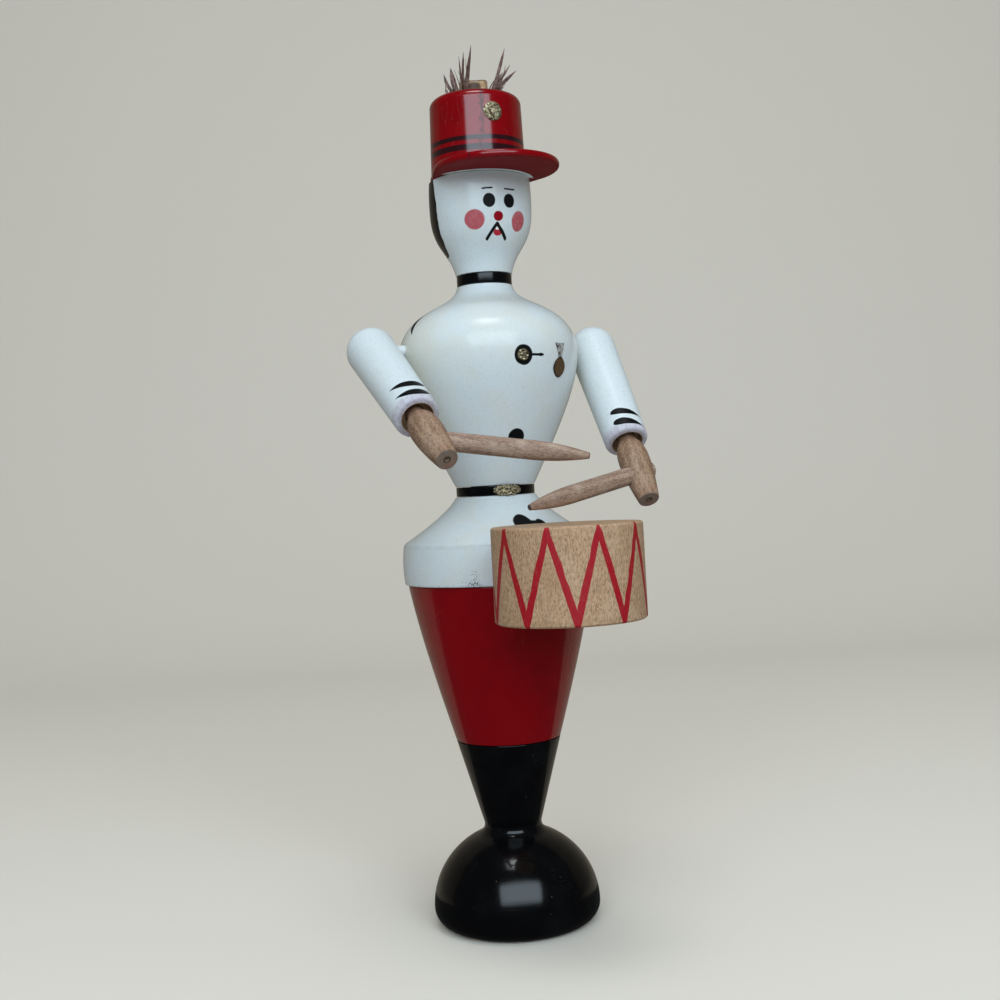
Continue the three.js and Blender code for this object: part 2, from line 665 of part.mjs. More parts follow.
// The arms
for (const [name, arm] of [['right', rightArm], ['left', leftArm]]) {
  const swing = new THREE.Group();
  swing.position.set(arm.side * (chestRadius + arm.gap + sleeveTopRadius), 0, shoulderLevel);
  swing.rotation.x = -swingOf(arm);
  const lean = new THREE.Group();
  lean.rotation.y = arm.side * rad(armLean);
  swing.add(lean);
  figure.add(swing);
  place(name + '_shoulder_pin', shoulderPin(arm), bareWood(beech));
  place(name + '_sleeve', sleeve(arm), lacquer(white), lean);
  place(name + '_hand', hand(arm), bareWood(beech), lean);
  place(name + '_drumstick', drumstick(arm), bareWood(beech), lean);
}

export default figure;
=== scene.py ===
import math
import random

import bmesh
import bpy
from mathutils import Matrix, Vector


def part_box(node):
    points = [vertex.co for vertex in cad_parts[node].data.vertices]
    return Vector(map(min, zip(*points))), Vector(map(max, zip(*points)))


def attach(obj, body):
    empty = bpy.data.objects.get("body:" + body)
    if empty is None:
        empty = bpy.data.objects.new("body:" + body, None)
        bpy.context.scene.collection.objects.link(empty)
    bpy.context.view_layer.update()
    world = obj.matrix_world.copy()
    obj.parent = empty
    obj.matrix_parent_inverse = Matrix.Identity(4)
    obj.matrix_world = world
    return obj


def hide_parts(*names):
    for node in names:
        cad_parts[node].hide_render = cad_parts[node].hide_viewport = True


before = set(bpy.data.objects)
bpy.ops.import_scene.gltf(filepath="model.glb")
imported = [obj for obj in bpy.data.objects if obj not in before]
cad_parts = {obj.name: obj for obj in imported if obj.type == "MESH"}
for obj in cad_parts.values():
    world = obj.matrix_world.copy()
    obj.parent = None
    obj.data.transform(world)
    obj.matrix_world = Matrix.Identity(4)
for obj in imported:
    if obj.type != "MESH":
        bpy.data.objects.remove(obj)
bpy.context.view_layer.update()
mm = 0.001
weld = 0.002 * mm  # corners closer than this are one


# Node trees: a Wire holds one output, and sums on it add Math nodes
class Wire:
    def __init__(self, nodes, socket):
        self.nodes = nodes
        self.socket = socket

    def maths(self, operation, *others):
        return self.nodes.sum(operation, self, *others)

    def __add__(self, other):
        return self.maths("ADD", other)

    def __radd__(self, other):
        return self.maths("ADD", other)

    def __sub__(self, other):
        return self.maths("SUBTRACT", other)

    def __rsub__(self, other):
        return self.nodes.sum("SUBTRACT", other, self)

    def __mul__(self, other):
        return self.maths("MULTIPLY", other)

    def __rmul__(self, other):
        return self.maths("MULTIPLY", other)

    def __truediv__(self, other):
        return self.maths("DIVIDE", other)

    def __pow__(self, other):
        return self.maths("POWER", other)

    def __neg__(self):
        return self.maths("MULTIPLY", -1.0)

    def __abs__(self):
        return self.maths("ABSOLUTE")

    def least(self, other):
        return self.maths("MINIMUM", other)

    def most(self, other):
        return self.maths("MAXIMUM", other)

    def root(self):
        return self.maths("SQRT")

    # 0 below low and 1 above high, eased between
    def rise(self, low, high):
        return self.nodes.node(
            "ShaderNodeMapRange", {"interpolation_type": "SMOOTHSTEP"}, {0: self, 1: low, 2: high}
        )

    def fall(self, low, high):
        return 1.0 - self.rise(low, high)


class Nodes:
    def __init__(self, tree):
        self.tree = tree

    # any node: its type, its settings and what its sockets get
    def node(self, kind, settings=None, sockets=None, output=0):
        made = self.tree.nodes.new(kind)
        for key, value in (settings or {}).items():
            setattr(made, key, value)
        for key, value in (sockets or {}).items():
            self.join(made.inputs[key], value)
        return Wire(self, made.outputs[output])

    def join(self, socket, value):
        if isinstance(value, Wire):
            self.tree.links.new(value.socket, socket)
        else:
            socket.default_value = value

    def sum(self, operation, *values):
        return self.node("ShaderNodeMath", {"operation": operation}, dict(enumerate(values)))

    def mix(self, first, second, mask):
        return self.node("ShaderNodeMix", {"data_type": "RGBA"}, {0: mask, 6: first, 7: second}, 2)

    def split(self, vector):
        node = self.tree.nodes.new("ShaderNodeSeparateXYZ")
        self.join(node.inputs[0], vector)
        return [Wire(self, socket) for socket in node.outputs]


class Finish(Nodes):
    def __init__(self, name, **constants):
        self.material = bpy.data.materials.new(name)
        self.material.use_nodes = True
        super().__init__(self.material.node_tree)
        self.shader = self.tree.nodes["Principled BSDF"]
        self.feed(**constants)

    # principled sockets by their names in camelCase, such as baseColor
    def feed(self, **sockets):
        for key, value in sockets.items():
            words = "".join(" " + c if c.isupper() else c for c in key).title().replace("Ior", "IOR")
            self.join(self.shader.inputs[words], value)

    # object coordinates in mm, in a frame of the piece's own where one is given
    def coords(self, place=None):
        found = self.node("ShaderNodeTexCoord", output="Object")
        if place is not None:
            found = self.node(
                "ShaderNodeMapping",
                {"vector_type": "TEXTURE"},
                {"Vector": found, "Location": place.to_translation(), "Rotation": place.to_euler("XYZ")},
            )
        return self.node("ShaderNodeVectorMath", {"operation": "SCALE"}, {0: found, "Scale": 1 / mm})

    def stretch(self, vector, x, y, z):
        return self.node("ShaderNodeVectorMath", {"operation": "MULTIPLY"}, {0: vector, 1: (x, y, z)})

    def noise(self, vector, scale, detail=2.0, roughness=0.5):
        return self.node(
            "ShaderNodeTexNoise", {},
            {"Vector": vector, "Scale": scale, "Detail": detail, "Roughness": roughness},
        )

    # distance to the nearest of many scattered points
    def dots(self, vector, scale):
        return self.node("ShaderNodeTexVoronoi", {}, {"Vector": vector, "Scale": scale})

    def bump(self, height, strength, depth):
        sockets = {"Strength": strength, "Distance": depth * mm, "Height": height}
        self.feed(normal=self.node("ShaderNodeBump", {}, sockets))

    # angle in degrees from the front, towards the figure's left, and height in mm
    def around(self, vector):
        x, y, z = self.split(vector)
        return x.maths("ARCTAN2", -y) * math.degrees(1), z

    # distance in mm from the piece's axis
    def fromAxis(self, vector):
        x, y = self.split(vector)[:2]
        return (x * x + y * y).root()


# a colour given as a picture stores it, from 0 to 255
def tone(*levels):
    linear = [((c / 255 + 0.055) / 1.055) ** 2.4 if c > 10 else c / 3294 for c in levels]
    return (*linear, 1.0)


# where any of the masks is
def union(*masks):
    made = masks[0]
    for mask in masks[1:]:
        made = made.most(mask)
    return made


# Brush marks, as masks over two coordinates in mm
def spot(u, v, at, size, soft=0.08):
    du = (u - at[0]) / size[0]
    dv = (v - at[1]) / size[1]
    return (du * du + dv * dv).root().fall(1 - soft, 1 + soft)


def stroke(u, v, start, end, half, soft=0.08):
    runU = end[0] - start[0]
    runV = end[1] - start[1]
    along = ((u - start[0]) * runU + (v - start[1]) * runV) / (runU * runU + runV * runV)
    along = along.most(0.0).least(1.0)
    du = u - start[0] - along * runU
    dv = v - start[1] - along * runV
    return (du * du + dv * dv).root().fall(half - soft, half + soft)


# a pointed brush stroke: rise and tail set how blunt its ends are, skew which side its middle swells to
def leaf(u, v, start, end, half, rise=1.0, tail=1.0, skew=0.0, soft=0.08):
    runU = end[0] - start[0]
    runV = end[1] - start[1]
    length = math.hypot(runU, runV)
    along = ((u - start[0]) * runU + (v - start[1]) * runV) / (length * length)
    across = ((v - start[1]) * runU - (u - start[0]) * runV) / length
    held = along.most(0.001).least(0.999)
    peak = rise / (rise + tail)
    most = peak ** rise * (1 - peak) ** tail
    swell = held ** rise * (1.0 - held) ** tail * (half / most)
    inside = (swell - abs(across + swell * skew)).rise(-soft, soft)
    return inside * along.rise(0.0, 0.02) * along.fall(0.98, 1.0)


def band(v, low, high, soft=0.06):
    return v.rise(low - soft, low + soft) * v.fall(high - soft, high + soft)


# Profiles: radius and height in mm, from the axis out and back to it
class Profile:
    def __init__(self, radius, height):
        self.points = [(radius, height)]

    def line(self, *stops):
        self.points.extend(stops)
        return self

    def bend(self, handle, end, steps=16):
        start = self.points[-1]
        for i in range(1, steps + 1):
            t = i / steps
            s = 1 - t
            self.points.append(tuple(
                s * s * start[k] + 2 * s * t * handle[k] + t * t * end[k] for k in (0, 1)
            ))
        return self

    def sweep(self, first, second, end, steps=20):
        start = self.points[-1]
        for i in range(1, steps + 1):
            t = i / steps
            s = 1 - t
            self.points.append(tuple(
                s ** 3 * start[k] + 3 * s * s * t * first[k] + 3 * s * t * t * second[k] + t ** 3 * end[k]
                for k in (0, 1)
            ))
        return self

    def arc(self, centre, radii, start, stop, steps=16):
        for i in range(1, steps + 1):
            turn = math.radians(start + (stop - start) * i / steps)
            self.points.append((centre[0] + radii[0] * math.cos(turn), centre[1] + radii[1] * math.sin(turn)))
        return self

    # rounds each sharp corner off
    def eased(self, radius, least=25.0, steps=4):
        points = [Vector(p) for p in self.points]
        made = [points[0]]
        for before, here, after in zip(points, points[1:], points[2:]):
            into = here - before
            out = after - here
            turn = into.angle(out, 0.0)
            if math.degrees(turn) < least:
                made.append(here)
                continue
            reach = min(radius * math.tan(turn / 2), 0.45 * into.length, 0.45 * out.length)
            first = here - into.normalized() * reach
            last = here + out.normalized() * reach
            for i in range(steps + 1):
                t = i / steps
                made.append(first * (1 - t) ** 2 + here * 2 * t * (1 - t) + last * t * t)
        made.append(points[-1])
        self.points = [tuple(p) for p in made]
        return self


def between(a, b, share):
    return a + (b - a) * share


# Geometry Nodes
def newTree(name, **inputs):
    tree = bpy.data.node_groups.new(name, "GeometryNodeTree")
    for label, kind in inputs.items():
        tree.interface.new_socket(label, in_out="INPUT", socket_type="NodeSocket" + kind)
    tree.interface.new_socket("Piece", in_out="OUTPUT", socket_type="NodeSocketGeometry")
    nodes = Nodes(tree)
    return nodes, {socket.name: Wire(nodes, socket) for socket in tree.nodes.new("NodeGroupInput").outputs}


def closeTree(nodes, geometry, finish):
    real = nodes.node("GeometryNodeRealizeInstances", {}, {0: geometry})
    coloured = nodes.node("GeometryNodeSetMaterial", {}, {0: real, "Material": finish})
    nodes.join(nodes.tree.nodes.new("NodeGroupOutput").inputs[0], coloured)
    return nodes.tree


# a profile's points, turned round the Z axis
def makeTurnTree():
    nodes, given = newTree("turnedPiece", Profile="Geometry", Sides="Int", Finish="Material")
    count = nodes.node("GeometryNodeAttributeDomainSize", {"component": "MESH"}, {0: given["Profile"]})
    sheet = nodes.node("GeometryNodeMeshGrid", {}, {"Vertices X": given["Sides"] + 1, "Vertices Y": count})
    index = nodes.node("GeometryNodeInputIndex")
    turn = ((index + 0.5) / count).maths("FLOOR") / given["Sides"] * (2 * math.pi)
    sample = nodes.node(
        "GeometryNodeSampleIndex", {"data_type": "FLOAT_VECTOR", "domain": "POINT"},
        {
            0: given["Profile"], "Value": nodes.node("GeometryNodeInputPosition"),
            "Index": index.maths("MODULO", count),
        },
    )
    radius, _, height = nodes.split(sample)
    x = radius * turn.maths("SINE")
    y = radius * -turn.maths("COSINE")
    spun = nodes.node("ShaderNodeCombineXYZ", {}, {0: x, 1: y, 2: height})
    moved = nodes.node("GeometryNodeSetPosition", {}, {0: sheet, "Position": spun})
    shut = nodes.node("GeometryNodeMergeByDistance", {}, {0: moved, "Distance": weld})
    smooth = nodes.node("GeometryNodeSetShadeSmooth", {}, {0: shut})
    return closeTree(nodes, smooth, given["Finish"])


# flat blades along paths, as wide as each path's own point values say
def makeBladeTree():
    nodes, given = newTree("quillBlades", Paths="Geometry", Sides="Int", Flatness="Float", Finish="Material")

    def named(name, kind):
        return nodes.node("GeometryNodeInputNamedAttribute", {"data_type": kind}, {"Name": name})

    path = nodes.node("GeometryNodeMeshToCurve", {}, {0: given["Paths"]})
    facing = named("facing", "FLOAT_VECTOR")
    faced = nodes.node("GeometryNodeSetCurveNormal", {"mode": "FREE"}, {0: path, "Normal": facing})
    sized = nodes.node("GeometryNodeSetCurveRadius", {}, {0: faced, "Radius": named("halfWidth", "FLOAT")})
    ring = nodes.node("GeometryNodeCurvePrimitiveCircle", {}, {"Resolution": given["Sides"], "Radius": 1.0})
    squeeze = nodes.node("ShaderNodeCombineXYZ", {}, {0: 1.0, 1: given["Flatness"], 2: 1.0})
    flat = nodes.node("GeometryNodeTransform", {}, {0: ring, "Scale": squeeze})
    radius = nodes.node("GeometryNodeInputRadius")
    swept = nodes.node(
        "GeometryNodeCurveToMesh", {}, {0: sized, 1: flat, "Scale": radius, "Fill Caps": True},
    )
    return closeTree(nodes, swept, given["Finish"])


turnTree = makeTurnTree()
bladeTree = makeBladeTree()


def newObject(name, mesh):
    made = bpy.data.objects.new(name, mesh)
    bpy.context.scene.collection.objects.link(made)
    return made


# an object as its modifiers leave it
def builtMesh(source):
    bpy.context.view_layer.update()
    return bpy.data.meshes.new_from_object(source.evaluated_get(bpy.context.evaluated_depsgraph_get()))


def shapeMesh(name, shape):
    mesh = bpy.data.meshes.new(name)
    shape.to_mesh(mesh)
    shape.free()
    return mesh


# closed, facing outwards and smooth but for its sharp edges
def tidyMesh(mesh, sharpDeg=32.0, merge=weld):
    shape = bmesh.new()
    shape.from_mesh(mesh)
    bmesh.ops.remove_doubles(shape, verts=shape.verts, dist=merge)
    bmesh.ops.dissolve_degenerate(shape, edges=shape.edges, dist=merge / 2)
    bmesh.ops.recalc_face_normals(shape, faces=shape.faces)
    for face in shape.faces:
        face.smooth = True
    shape.to_mesh(mesh)
    shape.free()
    mesh.set_sharp_from_angle(angle=math.radians(sharpDeg))
    return mesh


def treeObject(name, tree, mesh, **inputs):
    source = newObject(name + "Source", mesh)
    modifier = source.modifiers.new("Build", "NODES")
    modifier.node_group = tree
    for item in tree.interface.items_tree:
        if item.in_out == "INPUT" and item.name in inputs:
            modifier[item.identifier] = inputs[item.name]
    mesh = tidyMesh(builtMesh(source))
    mesh.name = name
    bpy.data.objects.remove(source)
    return newObject(name, mesh)


def turned(name, profile, finish, sides=128):
    points = [(radius * mm, 0, height * mm) for radius, height in profile.points]
    mesh = bpy.data.meshes.new(name + "Profile")
    mesh.from_pydata(points, [(i, i + 1) for i in range(len(points) - 1)], [])
    return treeObject(name, turnTree, mesh, Sides=sides, Finish=finish.material)


# cuts a round hole, given by its matrix, its radius and its two ends along its own Z
def bored(piece, place, radius, low, high):
    shape = bmesh.new()
    bmesh.ops.create_cone(
        shape, cap_ends=True, segments=48, radius1=radius * mm, radius2=radius * mm, depth=(high - low) * mm,
        matrix=place @ Matrix.Translation((0, 0, (low + high) / 2 * mm)),
    )
    cutter = newObject("drill", shapeMesh("drill", shape))
    cut = piece.modifiers.new("Bore", "BOOLEAN")
    cut.operation = "DIFFERENCE"
    cut.solver = "EXACT"
    cut.object = cutter
    mesh = builtMesh(piece)
    piece.modifiers.clear()
    piece.data = tidyMesh(mesh)
    piece.data.name = piece.name
    bpy.data.objects.remove(cutter)


def seat(piece, node, body, place=None):
    if place is not None:
        piece.data.transform(place)
    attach(piece, body)
    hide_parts(node)
    low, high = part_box(node)
    over = max(max(c.co[k] - high[k], low[k] - c.co[k]) for c in piece.data.vertices for k in range(3))
    print(piece.name, len(piece.data.polygons), "faces, over its solid by", round(over / mm, 2), "mm")
    return piece


def lowOf(node):
    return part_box(node)[0].z / mm


def highOf(node):
    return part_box(node)[1].z / mm


glueLine = 0.1
boreFit = 0.15
boreSpare = 0.5
drillPast = 2.0
level = {
    "boots": lowOf("boot_shaft"),
    "trousers": lowOf("trousers"),
    "skirt": lowOf("jacket_skirt"),
    "belt": lowOf("waist_belt"),
    "torso": highOf("waist_belt") + glueLine,
    "head": highOf("neck_band") + glueLine,
    "visor": lowOf("hat_visor"),
    "crown": lowOf("hat_crown"),
    "crownTop": highOf("hat_crown"),
    "drum": lowOf("drum"),
}


# Lacquers
lacquerLook = {
    "white": tone(213, 221, 223),
    "ivory": tone(216, 206, 178),
    "red": tone(134, 2, 11),
    "deepRed": tone(102, 2, 8),
    "black": tone(7, 7, 8),
    "blackLump": tone(13, 13, 14),
    "grime": tone(88, 80, 74),
    "scuff": tone(40, 37, 38),
    "redDust": tone(196, 96, 92),
    "blackDust": tone(120, 114, 106),
    "bareWood": tone(201, 168, 136),
}


# turning marks, orange peel, dust specks and thin scratches, shared by the lacquers
def lacquerSurface(finish, vector, peel=0.5, specks=0.05):
    marks = finish.noise(finish.stretch(vector, 0.12, 0.12, 2.2), 1.0, 3.0, 0.6)
    skin = finish.noise(vector, 0.9, 2.0, 0.5)
    lump = finish.noise(vector, 0.16, 1.0, 0.5)
    dust = finish.dots(vector, 0.55).fall(specks, specks * 1.6)
    dust = dust * finish.noise(vector, 0.12, 1.0).rise(0.5, 0.62)
    scratch = abs(finish.noise(finish.stretch(vector, 0.5, 0.5, 0.11), 0.7, 2.0, 0.7) - 0.5)
    scratch = scratch.fall(0.002, 0.006) * finish.noise(vector, 0.08, 1.0).rise(0.52, 0.66)
    finish.bump(marks * 0.6 + skin * peel + lump * 0.8 - dust * 0.4 - scratch * 0.3, 0.14, 0.25)
    return dust, scratch, lump


def makeWhite(name, place=None, paint=None, warm=0.18, roughness=0.2, mottled=0.1):
    finish = Finish(name, coatRoughness=0.07, specularIorLevel=0.2)
    vector = finish.coords(place)
    dust, scratch, lump = lacquerSurface(finish, vector)
    colour = finish.mix(lacquerLook["white"], lacquerLook["ivory"], lump.rise(0.42, 0.75) * warm)
    mottle = finish.noise(vector, 1.7, 3.0, 0.7)
    colour = finish.mix(colour, lacquerLook["grime"], mottle.rise(0.5, 0.72) * mottled)
    colour = finish.mix(colour, lacquerLook["grime"], dust * 0.55)
    shine = roughness + finish.noise(vector, 0.25, 2.0) * 0.1 + scratch * 0.2
    if paint is not None:
        colour, shine = paint(finish, vector, colour, shine)
    finish.feed(baseColor=colour, roughness=shine, coatWeight=((0.42 - shine) * 1.6).most(0.0))
    return finish


def makeRed(name, paint=None):
    finish = Finish(name, coatWeight=0.7, coatRoughness=0.04, specularIorLevel=0.2)
    vector = finish.coords()
    dust, scratch, lump = lacquerSurface(finish, vector, 0.35)
    colour = finish.mix(lacquerLook["red"], lacquerLook["deepRed"], lump.rise(0.35, 0.8) * 0.3)
    colour = finish.mix(colour, lacquerLook["redDust"], (dust * 0.6 + scratch * 0.3).least(1.0) * 0.3)
    shine = 0.15 + finish.noise(vector, 0.3, 2.0) * 0.08 + scratch * 0.15
    if paint is not None:
        colour, shine = paint(finish, vector, colour, shine)
    finish.feed(baseColor=colour, roughness=shine)
    return finish


def makeBlack(name, paint=None):
    finish = Finish(name, coatWeight=0.4, coatRoughness=0.05, specularIorLevel=0.15)
    vector = finish.coords()
    dust, scratch, lump = lacquerSurface(finish, vector, 0.4)
    colour = finish.mix(lacquerLook["black"], lacquerLook["blackLump"], lump.rise(0.4, 0.8))
    colour = finish.mix(colour, lacquerLook["blackDust"], (dust * 0.5 + scratch * 0.05).least(1.0))
    shine = 0.13 + finish.noise(vector, 0.28, 2.0) * 0.1 + scratch * 0.1 + dust * 0.2
    if paint is not None:
        colour, shine = paint(finish, vector, colour, shine)
    finish.feed(baseColor=colour, roughness=shine)
    return finish


# Bare beech, with its grain along the Z of the given frame
beechLook = {
    "light": tone(196, 156, 124),
    "mid": tone(168, 124, 94),
    "fleck": tone(104, 72, 52),
    "pale": tone(212, 182, 152),
    "rings": 0.3,
    "grit": 0.35,
}


def wood(light, mid, fleck, pale, **more):
    return dict(beechLook, light=tone(*light), mid=tone(*mid), fleck=tone(*fleck), pale=tone(*pale), **more)


def makeBeech(name, place=None, paint=None, flecks=1.0, streaks=1.0, look=beechLook):
    finish = Finish(name, specularIorLevel=0.35)
    vector = finish.coords(place)
    x, y = finish.split(vector)[:2]
    wander = finish.noise(finish.stretch(vector, 0.2, 0.2, 0.04), 1.0, 2.0)
    across = ((x + 9.0) * (x + 9.0) + (y - 5.0) * (y - 5.0)).root() + wander * 3.0
    rings = (across * 3.4).maths("SINE") * 0.5 + 0.5
    fibre = finish.noise(finish.stretch(vector, 5.5, 5.5, 0.35), 1.0, 3.0, 0.6)
    haze = finish.noise(vector, 0.18, 2.0)
    ray = finish.dots(finish.stretch(vector, 2.6, 2.6, 0.62), 1.0).fall(0.1, 0.3)
    ray = ray * finish.noise(vector, 0.5, 1.0).rise(0.42, 0.6)
    pore = finish.dots(finish.stretch(vector, 5.0, 5.0, 1.5), 1.0).fall(0.08, 0.22)
    figure = (rings * look["rings"] + fibre * 0.8 * streaks).rise(0.3, 0.8)
    colour = finish.mix(look["light"], look["mid"], figure)
    colour = finish.mix(colour, look["pale"], haze.rise(0.48, 0.7) * 0.45)
    streak = finish.noise(finish.stretch(vector, 3.0, 3.0, 0.28), 1.0, 2.0, 0.6).rise(0.58, 0.68)
    fleck = (ray * 0.6 + pore * 0.4 + streak * 0.35 * streaks).least(1.0) * flecks
    colour = finish.mix(colour, look["fleck"], fleck)
    # short fibres, light and dark
    grit = finish.noise(finish.stretch(vector, 3.2, 3.2, 1.2), 1.0, 2.0, 0.7)
    colour = finish.mix(colour, look["pale"], grit.rise(0.52, 0.64) * look["grit"])
    colour = finish.mix(colour, look["fleck"], grit.fall(0.36, 0.47) * look["grit"])
    shine = 0.5 + fibre * 0.2
    if paint is not None:
        colour, shine = paint(finish, vector, colour, shine)
    finish.feed(baseColor=colour, roughness=shine)
    finish.bump(fibre * 0.7 + rings * 0.15 - ray * 0.5 - pore * 0.6, 0.3, 0.12)
    return finish


# Base and boots
bootCut = {"foot": 6.6, "top": 13.0, "height": 22.8, "edge": 0.3}
baseCut = {
    "foot": 16.0, "widest": 20.65, "rim": 4.4, "rise": 19.4, "seat": 6.6, "bore": 3.0, "depth": 13.0,
    # the fillet of paint: where it leaves the dome and how far up the boots it runs
    "gather": (9.0, 1.7), "film": 0.02, "tuck": 0.15,
}


def makeBase():
    top = highOf("base_dome")
    bore = baseCut["bore"] + boreFit
    floor = top - baseCut["depth"] - boreSpare
    foot = baseCut["foot"]
    widest = baseCut["widest"]
    rim = baseCut["rim"]
    shape = Profile(0, 0).line((foot, 0)).arc((foot, rim), (widest - foot, rim), -90, 0)
    reach, climb = baseCut["gather"]
    reachDeg = math.degrees(math.acos(reach / widest))
    shape.arc((0, rim), (widest, baseCut["rise"]), 0, reachDeg, 40)
    lean = (bootCut["top"] - bootCut["foot"]) / bootCut["height"]
    boot = baseCut["seat"] + climb * lean + baseCut["film"]
    slope = -baseCut["rise"] / widest / math.tan(math.radians(reachDeg))
    edge = shape.points[-1]
    tucked = boot - baseCut["tuck"]
    shape.bend((tucked, edge[1] + (tucked - edge[0]) * slope), (boot, level["boots"] + climb), 12)
    shape.line((baseCut["seat"] + baseCut["film"], top), (bore, top), (bore, floor), (0, floor))

    # a worn ring where it stands
    def paint(finish, vector, colour, shine):
        height = finish.split(vector)[2]
        worn = height.fall(0.1, 0.9) * finish.noise(vector, 0.7, 3.0).rise(0.5, 0.6)
        return finish.mix(colour, lacquerLook["bareWood"], worn * 0.5), shine + worn * 0.3

    piece = turned("baseDome", shape, makeBlack("baseLacquer", paint))
    seat(piece, "base_dome", "figure")


def makeBoots():
    bore = baseCut["bore"] + boreFit
    low = level["boots"]
    high = low + bootCut["height"]
    shape = Profile(bore, low)
    shape.line((bootCut["foot"], low), (bootCut["top"], high), (bore, high), (bore, low))
    piece = turned("boots", shape.eased(bootCut["edge"]), makeBlack("bootLacquer"))
    seat(piece, "boot_shaft", "figure")


# Trousers and jacket skirt
trouserCut = {
    "foot": 13.0, "thigh": (20.9, 26.7), "top": 22.9, "height": 39.1, "edge": 0.35,
    "legBore": 12.0, "hipBore": (4.0, 9.5),
}


def makeTrousers():
    low = level["trousers"]
    high = low + trouserCut["height"]
    legBore = baseCut["bore"] + boreFit
    legTop = low + trouserCut["legBore"] + boreSpare
    hip = trouserCut["hipBore"][0] + boreFit
    hipFloor = high - trouserCut["hipBore"][1] - boreSpare
    shape = Profile(0, legTop).line((legBore, legTop), (legBore, low), (trouserCut["foot"], low))
    shape.bend((trouserCut["thigh"][0], low + trouserCut["thigh"][1]), (trouserCut["top"], high), 40)
    shape.line((hip, high), (hip, hipFloor), (0, hipFloor)).eased(trouserCut["edge"])
    piece = turned("trouserCone", shape, makeRed("trouserLacquer"))
    seat(piece, "trousers", "figure")


skirtCut = {
    "hem": 23.65, "swell": 0.3, "hemHeight": 9.7, "edge": 0.7, "slope": 1.46, "flare": (12.0, 17.1),
    "top": 9.95, "height": 20.9, "waistBore": (6.0, 7.0),
    # the painted button lies on an arc of a nominal radius, and so do the scuffs
    "buttonArc": 16.8, "button": (-0.1, 99.3), "buttonSize": (2.4, 1.9),
    "loop": (4.6, 99.05), "loopSize": (1.2, 0.8), "loopHalf": 0.42, "hemArc": 24.0,
    # place on the hem, size, and how thick the specks lie
    "scuffs": [(-15.2, 85.6, 1.6, 0.7, 0.5), (-15.1, 87.4, 0.9, 1.6, 0.57), (-17.6, 86.6, 1.4, 1.0, 0.63)],
}


def makeSkirt():
    low = level["skirt"]
    high = low + skirtCut["height"]
    hip = trouserCut["hipBore"][0] + boreFit
    hipTop = low + trouserCut["hipBore"][1] + boreSpare
    waist = skirtCut["waistBore"][0] + boreFit
    waistFloor = high - skirtCut["waistBore"][1] - boreSpare
    hem = skirtCut["hem"]
    edge = skirtCut["edge"]
    crease = low + skirtCut["hemHeight"]
    shape = Profile(0, hipTop).line((hip, hipTop), (hip, low), (hem, low))
    shape.bend((hem + 2 * skirtCut["swell"], low + skirtCut["hemHeight"] / 2), (hem, crease - edge), 16)
    shape.bend((hem, crease), (hem - edge * skirtCut["slope"], crease + edge), 8)
    shape.bend((skirtCut["flare"][0], low + skirtCut["flare"][1]), (skirtCut["top"], high), 32)
    shape.line((waist, high), (waist, waistFloor), (0, waistFloor)).eased(0.3)

    # the lowest button with its loop, scuffs on the hem, and grime at its foot and in its crease
    def paint(finish, vector, colour, shine):
        angle, height = finish.around(vector)
        wobble = finish.noise(vector, 0.5, 2.0) - 0.5
        arc = angle * math.radians(skirtCut["buttonArc"]) + wobble * 0.3
        lift = height + wobble * 0.3
        black = union(
            spot(arc, lift, skirtCut["button"], skirtCut["buttonSize"]),
            stroke(arc, lift, skirtCut["button"], skirtCut["loop"], skirtCut["loopHalf"]),
            spot(arc, lift, skirtCut["loop"], skirtCut["loopSize"]),
        )
        colour = finish.mix(colour, lacquerLook["black"], black)
        hemArc = angle * math.radians(skirtCut["hemArc"])
        rub = finish.noise(vector, 3.4, 2.0, 0.6)
        for u, v, wide, tall, least in skirtCut["scuffs"]:
            mark = spot(hemArc, height, (u, v), (wide, tall), 0.5) * rub.rise(least, least + 0.05)
            colour = finish.mix(colour, lacquerLook["scuff"], mark * 0.9)
        grime = band(height, crease - 0.5, crease + 0.25, 0.35) * finish.noise(vector, 0.3, 2.0)
        foot = height.fall(low + 0.1, low + 0.7) * finish.noise(vector, 0.9, 3.0).rise(0.45, 0.62)
        return finish.mix(colour, lacquerLook["grime"], grime.most(foot) * 0.28), shine + black * 0.5

    piece = turned("jacketSkirt", shape, makeWhite("skirtLacquer", None, paint))
    peg, depth = drumCut["peg"]
    facing = Matrix.Rotation(math.pi / 2, 4, "X")
    pegPlace = Matrix.Translation((0, 0, (low + skirtCut["hemHeight"] / 2) * mm)) @ facing
    bored(piece, pegPlace, peg + boreFit, hem - depth - boreSpare, hem + drillPast)
    seat(piece, "jacket_skirt", "figure")


# Belt and neck band
bandCut = {"beltBore": 6.0, "belt": 9.75, "neckBore": 4.5, "neck": 6.85, "edge": 0.22}


def makeBand(name, node, inner, outer):
    low = lowOf(node)
    high = highOf(node)
    bore = inner + boreFit
    shape = Profile(bore, low).line((outer, low), (outer, high), (bore, high), (bore, low))
    piece = turned(name, shape.eased(bandCut["edge"]), makeBlack(name + "Lacquer"))
    seat(piece, node, "figure")


